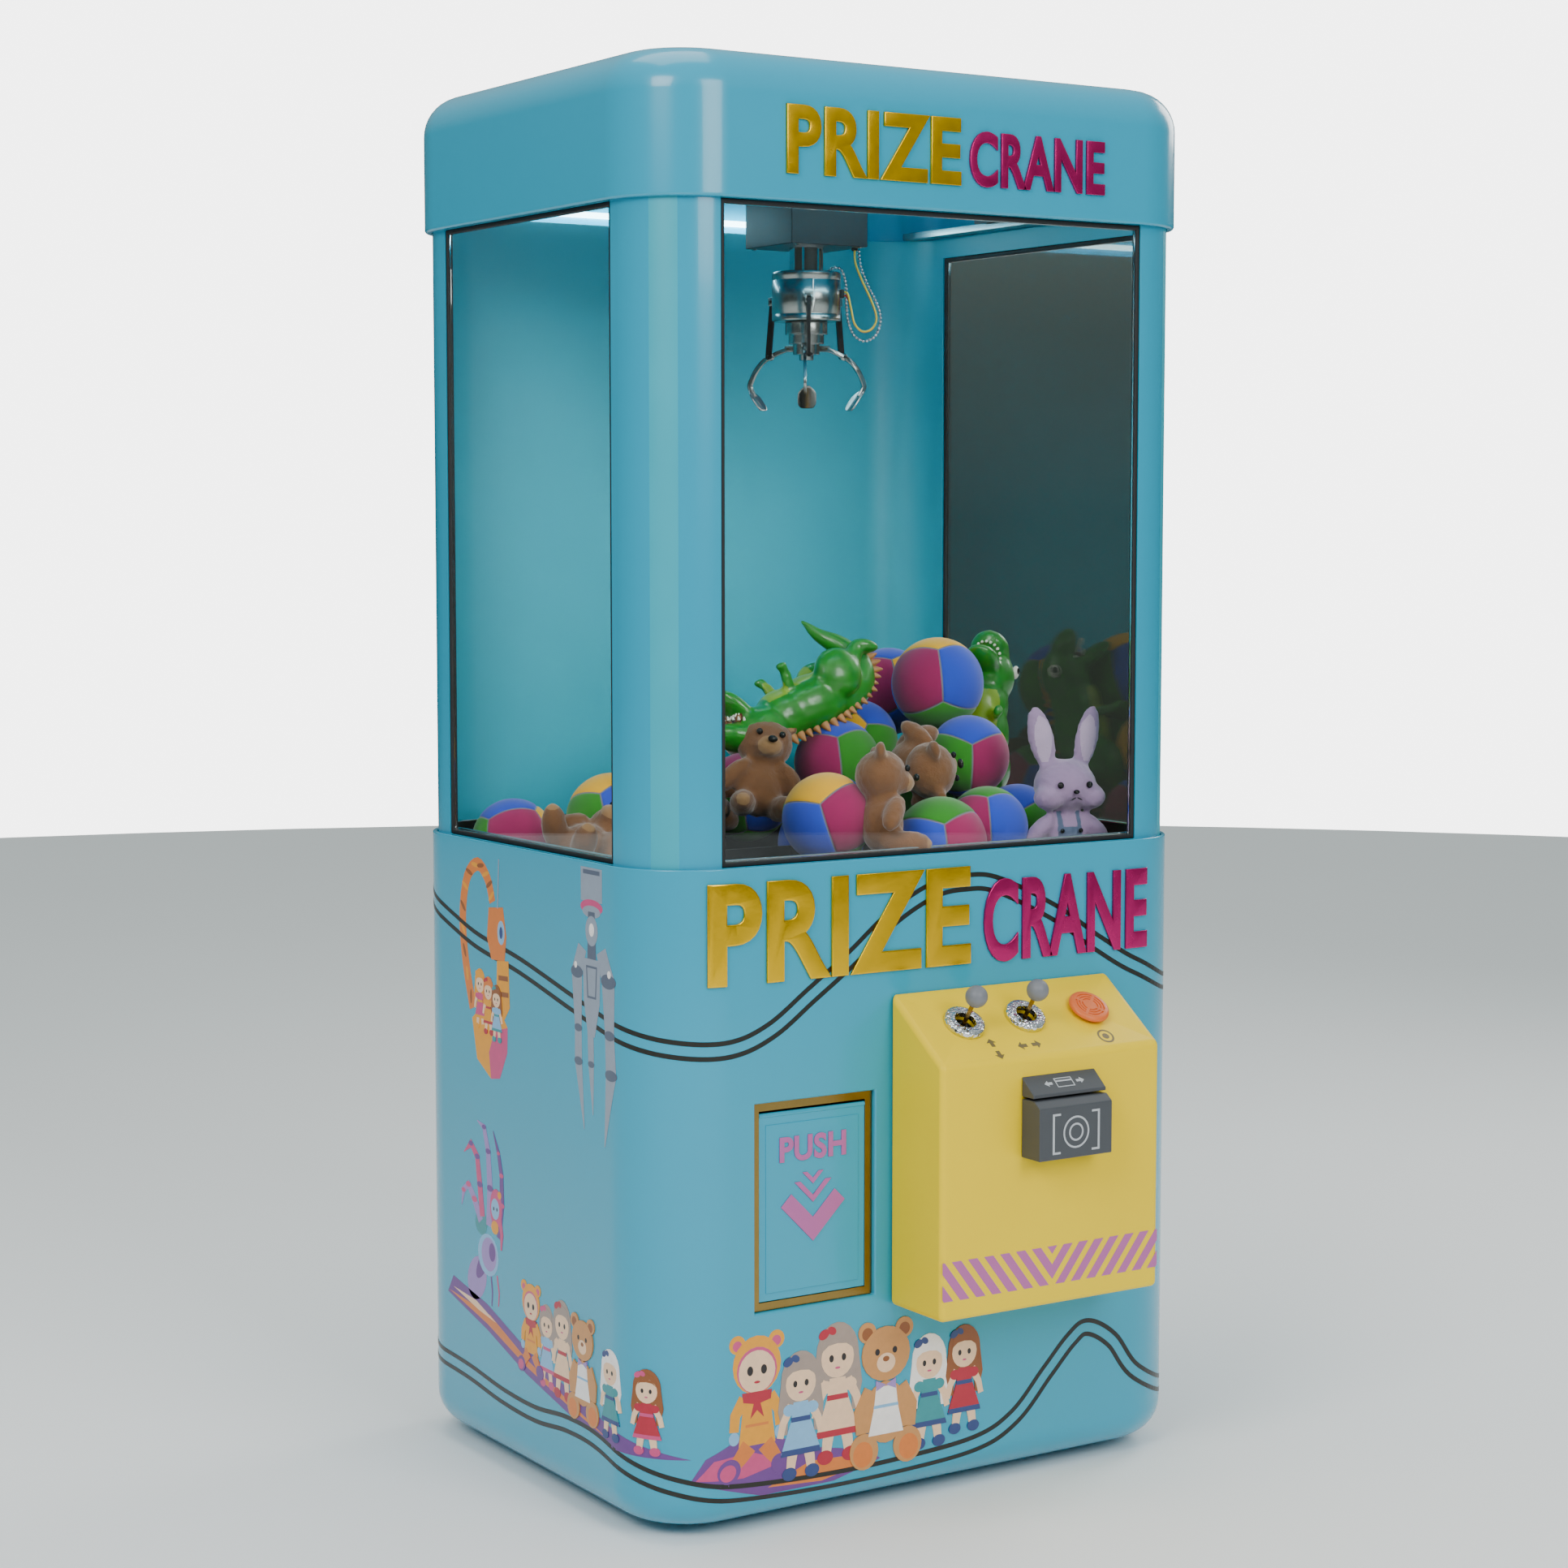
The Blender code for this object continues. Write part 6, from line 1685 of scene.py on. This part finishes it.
def wave(name, route, half=0.0032, apart=0.0095):
    """A pair of parallel dark lines that run round the base."""
    dense = through([(u, z, 0) for u, z in route], 10)
    shape = bmesh.new()
    for middle in (-apart, apart):
        rows = []
        for i, spot in enumerate(dense):
            along = (dense[min(i + 1, len(dense) - 1)] - dense[max(i - 1, 0)]).normalized()
            side = Vector((-along.y, along.x, 0))
            rows.append([shape.verts.new(on_base(*(spot + side * (middle + edge))[:2], lift))
                         for edge, lift in ((-half, 0.00006), (-half, 0.00028), (half, 0.00028),
                                            (half, 0.00006))])
        for low, high in zip(rows, rows[1:]):
            for i in range(4):
                shape.faces.new((low[i], low[(i + 1) % 4], high[(i + 1) % 4], high[i]))
        shape.faces.new(rows[0][::-1])
        shape.faces.new(rows[-1])
    bmesh.ops.recalc_face_normals(shape, faces=shape.faces)
    return keep(from_bmesh(name, shape, INK["olive"]))


wave("upper_wave", [(left_u(0.400), 0.786), (left_u(0.330), 0.780), (left_u(0.267), 0.764),
                    (left_u(0.203), 0.744), (left_u(0.128), 0.724),
                    (left_u(0.007), 0.705), (left_u(-0.130), 0.676), (left_u(-0.217), 0.658),
                    (-0.420, 0.636),
                    (-0.333, 0.632), (-0.271, 0.651), (-0.208, 0.693), (-0.145, 0.736), (-0.080, 0.785),
                    (-0.014, 0.817), (0.039, 0.824), (0.093, 0.817), (0.191, 0.772), (0.262, 0.727),
                    (0.335, 0.687),
                    (0.430, 0.655), (0.560, 0.668), (0.720, 0.705), (0.900, 0.735), (1.060, 0.770),
                    (1.150, 0.784)])
wave("lower_wave", [(left_u(0.400), 0.118), (left_u(0.320), 0.112), (left_u(0.255), 0.108),
                    (left_u(0.165), 0.103), (left_u(0.066), 0.093),
                    (left_u(-0.030), 0.091), (left_u(-0.122), 0.100), (left_u(-0.211), 0.096),
                    (-0.420, 0.066),
                    (-0.334, 0.049), (-0.208, 0.041), (-0.077, 0.041), (0.058, 0.050), (0.127, 0.077),
                    (0.183, 0.131), (0.225, 0.171), (0.254, 0.184), (0.297, 0.160), (0.342, 0.107),
                    (0.430, 0.070), (0.560, 0.058), (0.740, 0.084), (0.900, 0.104), (1.060, 0.110),
                    (1.150, 0.116)])


def moved(parts, right, up, tall):
    """Layers drawn 100 mm tall, set to a height and moved."""
    return [(ink, [(right + a * tall / 100, up + b * tall / 100) for a, b in points]) for ink,
            points in parts]


def doll(hair, dress, trim):
    """A seated rag doll, plain in face: long hair, puffed sleeves, a full skirt and stockinged legs."""
    parts = [(hair, oval(0, 74, 19, 24)), (hair, limb([(-14, 72), (-17, 50), (-15, 30)], [5, 5, 2])),
             (hair, limb([(14, 72), (17, 50), (15, 30)], [5, 5, 2]))]
    for s in (-1, 1):
        parts += [("cream", limb([(s * 9, 54), (s * 17, 40), (s * 20, 28)], [4, 3.4, 3])),
                  ("cream", limb([(s * 7, 18), (s * 9, 8), (s * 10, 0)], [5, 4.5, 4])),
                  (trim, oval(s * 11, -3, 7, 5.5))]
    parts += [(dress, [(-7, 56), (7, 56), (9, 42), (19, 14), (-19, 14), (-9, 42)]),
              (trim, [(-18, 17), (18, 17), (19.5, 12), (-19.5, 12)]),
              (dress, oval(-11, 50, 6, 5)), (dress, oval(11, 50, 6, 5)),
              (trim, [(-9, 43.5), (9, 43.5), (9.5, 39.5), (-9.5, 39.5)]),
              ("cream", oval(0, 71, 14.5, 15)),
              (hair, [(-15, 76), (-12, 88), (0, 93), (12, 88), (15, 76), (8, 81), (0, 82), (-8, 81)]),
              ("black", oval(-5.5, 71, 2.0, 2.8)), ("black", oval(5.5, 71, 2.0, 2.8)),
              ("rose", oval(0, 63.5, 2.4, 0.9)), (trim, oval(-12, 90, 5, 3.5, 30)),
              (trim, oval(-5, 92, 4, 3, -30))]
    return parts


def hooded_doll():
    """A doll in a honey-coloured eared hood, with a scarf."""
    parts = []
    for s in (-1, 1):
        parts += [("honey", oval(s * 17, 91, 7, 7)), ("rose", oval(s * 17, 90, 4, 4))]
    parts += [("honey", oval(0, 74, 21, 22)), ("rose", oval(0, 70, 17.5, 17.5)),
              ("cream", oval(0, 69, 16, 16)),
              ("honey", [(-11, 52), (11, 52), (16, 14), (-16, 14)]),
              ("honey", limb([(-11, 50), (-19, 38), (-20, 26)], [5, 4.5, 4])),
              ("honey", limb([(11, 50), (19, 38), (20, 26)], [5, 4.5, 4])),
              ("sky", oval(-20, 21, 4.5, 5)), ("sky", oval(20, 21, 4.5, 5)),
              ("orange", limb([(-7, 14), (-14, 6), (-19, 1)], [7, 6, 5])),
              ("orange", limb([(7, 14), (13, 6), (17, 1)], [7, 6, 5])),
              ("violet", oval(-24, -3, 10, 9, 30)), ("rose", oval(-25, -4, 7, 6, 30)),
              ("violet", oval(21, -4, 9, 8, -30)),
              ("red", [(-13, 54), (13, 54), (12, 47), (3, 45), (6, 34), (0, 40), (-6, 34), (-3, 45),
                       (-12, 47)]),
              ("black", oval(-6, 70, 2.6, 3.6)), ("black", oval(6, 70, 2.6, 3.6)),
              ("red", oval(0, 61, 2.6, 1.0)), ("orange", [(-10, 30), (10, 30), (10, 28), (-10, 28)])]
    return parts


def printed_bear():
    """A sitting teddy bear in a white apron."""
    parts = []
    for s in (-1, 1):
        parts += [("tan", oval(s * 17, 93, 8, 8)), ("brown", oval(s * 17, 92, 5, 5))]
    parts += [("tan", oval(0, 30, 19, 24))]
    for s in (-1, 1):
        parts += [("tan", limb([(s * 13, 48), (s * 22, 32), (s * 21, 16)], [7, 7, 6])),
                  ("tan", oval(s * 20, 2, 13, 14)), ("orange", oval(s * 21, 0, 9, 10))]
    parts += [("white", [(-9, 50), (9, 50), (11, 34), (16, 13), (-16, 13), (-11, 34)]),
              ("sky", [(-11, 36), (11, 36), (11.4, 33.6), (-11.4, 33.6)]),
              ("tan", oval(0, 75, 22, 21)), ("cream", oval(0, 68, 8.5, 7.5)),
              ("brown", oval(0, 71, 3.0, 2.2)),
              ("black", oval(-8, 77, 2.2, 2.6)), ("black", oval(8, 77, 2.2, 2.6)),
              ("lilac", [(0, 51), (-9, 55), (-9, 47)]), ("lilac", [(0, 51), (9, 55), (9, 47)])]
    return parts


GROUND_FRONT = [("violet", [(-270, -2), (-248, 30), (-200, 52), (-130, 44), (-60, 18), (10, 4), (40, -14),
                            (-40, -34),
                            (-160, -34)]),
                ("rose", [(-262, 0), (-236, 26), (-180, 32), (-120, 10), (-190, -4)]),
                ("orange", [(-150, -24), (-80, 2), (0, -2), (20, -14), (-60, -30)])]
printed("printed_toy_row_front", GROUND_FRONT
        + moved(hooded_doll(), -168, 14, 188) + moved(doll("hair", "cream", "red"), -34, 8, 190)
        + moved(doll("hair", "sky", "navy"), -96, -6, 172) + moved(doll("white", "teal", "navy"), 124, 0,
                                                                   158)
        + moved(doll("brown", "red", "navy"), 186, 12, 150) + moved(printed_bear(), 48, -4, 188),
        (-0.135, 0.070), 0.94)
GROUND_LEFT = [("violet", [(-350, 100), (-330, 130), (-210, 108), (-80, 66), (60, 34), (200, 6),
                           (330, -22), (200, -22),
                           (60, -4), (-80, 26), (-210, 66)]),
               ("orange", [(-345, 104), (-210, 76), (-80, 38), (60, 8), (180, -12), (60, 16), (-80, 50),
                           (-200, 92)]),
               ("cream", [(-330, 112), (-250, 106), (-180, 84), (-240, 92)])]
printed("printed_toy_row_left", GROUND_LEFT
        + moved(doll("hair", "sky", "rose"), -12, 30, 124) + moved(doll("hair", "cream", "red"), 38, 26,
                                                                   146)
        + moved(hooded_doll(), -62, 44, 134) + moved(doll("white", "teal", "navy"), 186, 0, 130)
        + moved(doll("brown", "red", "rose"), 262, -8, 122) + moved(printed_bear(), 104, 12, 146),
        (left_u(-0.075), 0.118), 0.88)


def prong(route, widths, ink="steel", knuckle="dark_steel"):
    """A jointed claw finger: a tapered limb with darker knuckle bands."""
    parts = [(ink, limb(route, widths))]
    for (x, z), wide in zip(route[1:-1], widths[1:-1]):
        parts.append((knuckle, oval(x, z, wide * 1.15, wide * 0.6)))
    return parts


GREY_CLAW = ([("steel", [(-38, 400), (38, 400), (38, 340), (-38, 340)]),
              ("dark_steel", [(-30, 396), (30, 396), (30, 388), (-30, 388)]),
              ("rose", oval(0, 330, 40, 14)), ("steel", oval(0, 322, 32, 11)),
              ("dark_steel", [(-12, 322), (12, 322), (16, 230), (-16, 230)]),
              ("steel", oval(0, 288, 22, 27)),
              ("white", oval(0, 290, 9, 12))]
             + prong([(-4, 190), (-6, 120), (-4, 50), (2, -40)], [13, 11, 10, 1])
             + prong([(-34, 256), (-54, 210), (-50, 110), (-50, 50), (-30, -70)], [15, 19, 12, 13, 1])
             + prong([(34, 256), (58, 205), (62, 110), (66, 40), (44, -90)], [17, 22, 15, 17, 1])
             + [("steel", [(-32, 238), (32, 238), (28, 160), (10, 100), (-14, 100), (-28, 160)]),
                ("dark_steel", [(-20, 226), (20, 226), (16, 168), (-16, 168)]),
                ("steel", [(-16, 222), (16, 222), (12, 172), (-12, 172)]),
                ("white", oval(-58, 222, 5, 6)), ("white", oval(62, 218, 6, 7))])
printed("printed_grey_claw", GREY_CLAW, (left_u(-0.195), 0.562), 0.74)

CRANE_ARM = through([(-62, 40, 0), (-92, 130, 0), (-104, 220, 0), (-84, 300, 0), (-36, 332, 0),
                     (6, 306, 0), (26, 262, 0)], 4)
BASKET = ([("honey", [(-66, 20), (-30, 44), (62, 44), (86, 20), (84, -30), (52, -86), (14, -92),
                      (-46, -60)]),
           ("rose", [(14, -92), (52, -86), (84, -30), (86, 20), (30, 6), (6, -40)]),
           ("orange", limb([p[:2] for p in CRANE_ARM], [15 - 0.1 * i for i in range(len(CRANE_ARM))]))]
          + [("honey" if i % 2 else "brown", oval(p[0], p[1], 15, 4.5, 90 + 12 * i))
             for i, p in enumerate(CRANE_ARM[1:-1:2])]
          + [("orange", [(10, 250), (70, 256), (84, 200), (76, 150), (20, 148), (2, 190)]),
             ("sky", oval(62, 205, 15, 24)), ("navy", oval(62, 205, 7, 12)),
             ("honey", [(44, 148), (92, 152), (96, 60), (70, 30), (40, 60)]),
             ("brown", [(50, 120), (90, 122), (90, 112), (50, 110)]),
             ("brown", [(50, 88), (92, 90), (92, 80), (50, 78)]),
             ("steel", [(46, 252), (50, 252), (56, 350), (53, 350)])]
          + moved(doll("honey", "rose", "honey"), -30, 10, 116)
          + moved(doll("orange", "honey", "red"), 6, 4, 110)
          + moved(doll("brown", "sky", "teal"), 42, -6, 108))
printed("printed_basket_crane", BASKET, (left_u(0.103), 0.600), 0.70)

BRIGHT_CLAW = ([("lilac", oval(-52, -76, 44, 58, -35)), ("violet", oval(-20, -34, 20, 52, -40)),
                ("sky", oval(6, -10, 52, 50)), ("lilac", oval(10, -8, 38, 40)),
                ("violet", oval(26, 0, 16, 22)), ("teal", oval(-28, 60, 30, 28)),
                ("violet", limb([(20, -58), (26, -96), (22, -128)], [3, 3, 2])),
                ("rose", limb([(50, -50), (60, -90), (56, -122)], [3, 3, 2]))]
               + prong([(-30, 64), (-62, 110), (-92, 140), (-118, 122), (-128, 84)], [12, 12, 11, 9, 1],
                       "lilac", "rose")
               + prong([(-22, 76), (-34, 150), (-46, 214), (-78, 240), (-114, 214)], [12, 12, 11, 10, 1],
                       "rose", "violet")
               + prong([(12, 60), (18, 150), (10, 236), (-10, 290), (-44, 300)], [14, 13, 11, 9, 1],
                       "lilac", "violet")
               + prong([(60, 40), (78, 120), (76, 190), (62, 240), (36, 288)], [9, 10, 9, 7, 1], "violet",
                       "rose")
               + [("rose", oval(48, 108, 30, 46)), ("sky", oval(44, 106, 20, 25)),
                  ("black", oval(37, 106, 3.4, 4.6)), ("black", oval(53, 106, 3.4, 4.6)),
                  ("honey", oval(66, 142, 9, 9)), ("rose", limb([(66, 90), (76, 50), (72, 14)], [8, 7, 3])),
                  ("honey", oval(42, 62, 18, 16))])
printed("printed_bright_claw", BRIGHT_CLAW, (left_u(0.110), 0.290), 0.60)


# ---------------------------------------------------------------- tray, chute, feet and rear
def make_inside():
    """Tray with its bead, prize chute and control unit."""
    from_cad("playfield_tray", POWDER_BLACK, 0.0010)
    from_cad("prize_chute", POWDER_BLACK, 0.0010)
    from_cad("control_unit", POWDER_BLACK, 0.0015)
    # Chromed bead that finishes the tray's upper edge.
    low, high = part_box("playfield_tray")
    half_x, half_y = (high.x - low.x) / 2 - 0.0016, (high.y - low.y) / 2 - 0.0016
    ring = [Vector((x, y + CENTRE_Y, high.z - 0.0004)) for x, y in rounded_outline(half_x, half_y, 0.0794,
                                                                                   12)]
    keep(tube_along("tray_bead", ring, 0.0021, CHROME, sides=10, cyclic=True), "root")


def make_feet():
    """Rubber pads in the feet's places, narrower above where the leg's stud enters."""
    for side in ("left", "right"):
        for end in ("front", "rear"):
            low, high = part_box(f"foot_{end}_{side}")
            profile = [(0, 0), (0.006, 0), (0.006, -0.006), (0.015, -0.0078), (0.020, -0.0105),
                       (0.020, -0.0145),
                       (0.0192, -0.0150), (0, -0.0150)]
            top = Matrix.Translation(((low.x + high.x) / 2, (low.y + high.y) / 2, high.z))
            scale = (high.z - low.z) / 0.0150
            profile = [(r, z * scale) for r, z in rounded(profile, 0.0012)]
            keep(turned(f"foot_pad_{end}_{side}", profile, top, RUBBER, steps=48), "root",
                 f"foot_{end}_{side}")


def louvre():
    """Pressed louvre: a long low hood, open below."""
    rows = []
    for x, rise in ((-0.045, 0.0), (-0.041, 0.8), (-0.034, 1.0), (0.034, 1.0), (0.041, 0.8), (0.045, 0.0)):
        high = 0.0042 * rise
        rows.append([(x, 0.0062, 0.0), (x, 0.0030, high * 0.55), (x, -0.0020, high * 0.95),
                     (x, -0.0058, high + 0.0002), (x, -0.0060, 0.0)])
    return lofted("louvre", rows, TEAL)


def make_rear():
    """Rear of the cabinet: the service door with its lock, louvres and the panel's screws."""
    from_cad("service_door", TEAL, 0.0012, "rear_door")
    from_cad("service_lock", NICKEL, 0.0007, "door_lock")
    rear = CENTRE_Y + BASE_Y - 0.0004
    hood = louvre()
    # The hood's own x lies along the door and its y upwards once its z points to the rear.
    hood.data.transform(Matrix.Rotation(math.pi / 2, 4, "Z"))
    rows = [((x, rear, 0.500 + LIFT + 0.018 * k), (0, 1, 0)) for x in (-0.060, 0.060) for k in range(8)]
    keep(repeated("door_louvres", rows, hood, TEAL), "rear_door")
    spots = [((x, CENTRE_Y + BASE_Y, z + LIFT), (0, 1, 0)) for z in (0.110, 0.730)
             for x in (-0.205, 0, 0.205)]
    keep(repeated("rear_screws", spots, screw_head(0.0045), NICKEL))


make_inside()
make_feet()
make_rear()
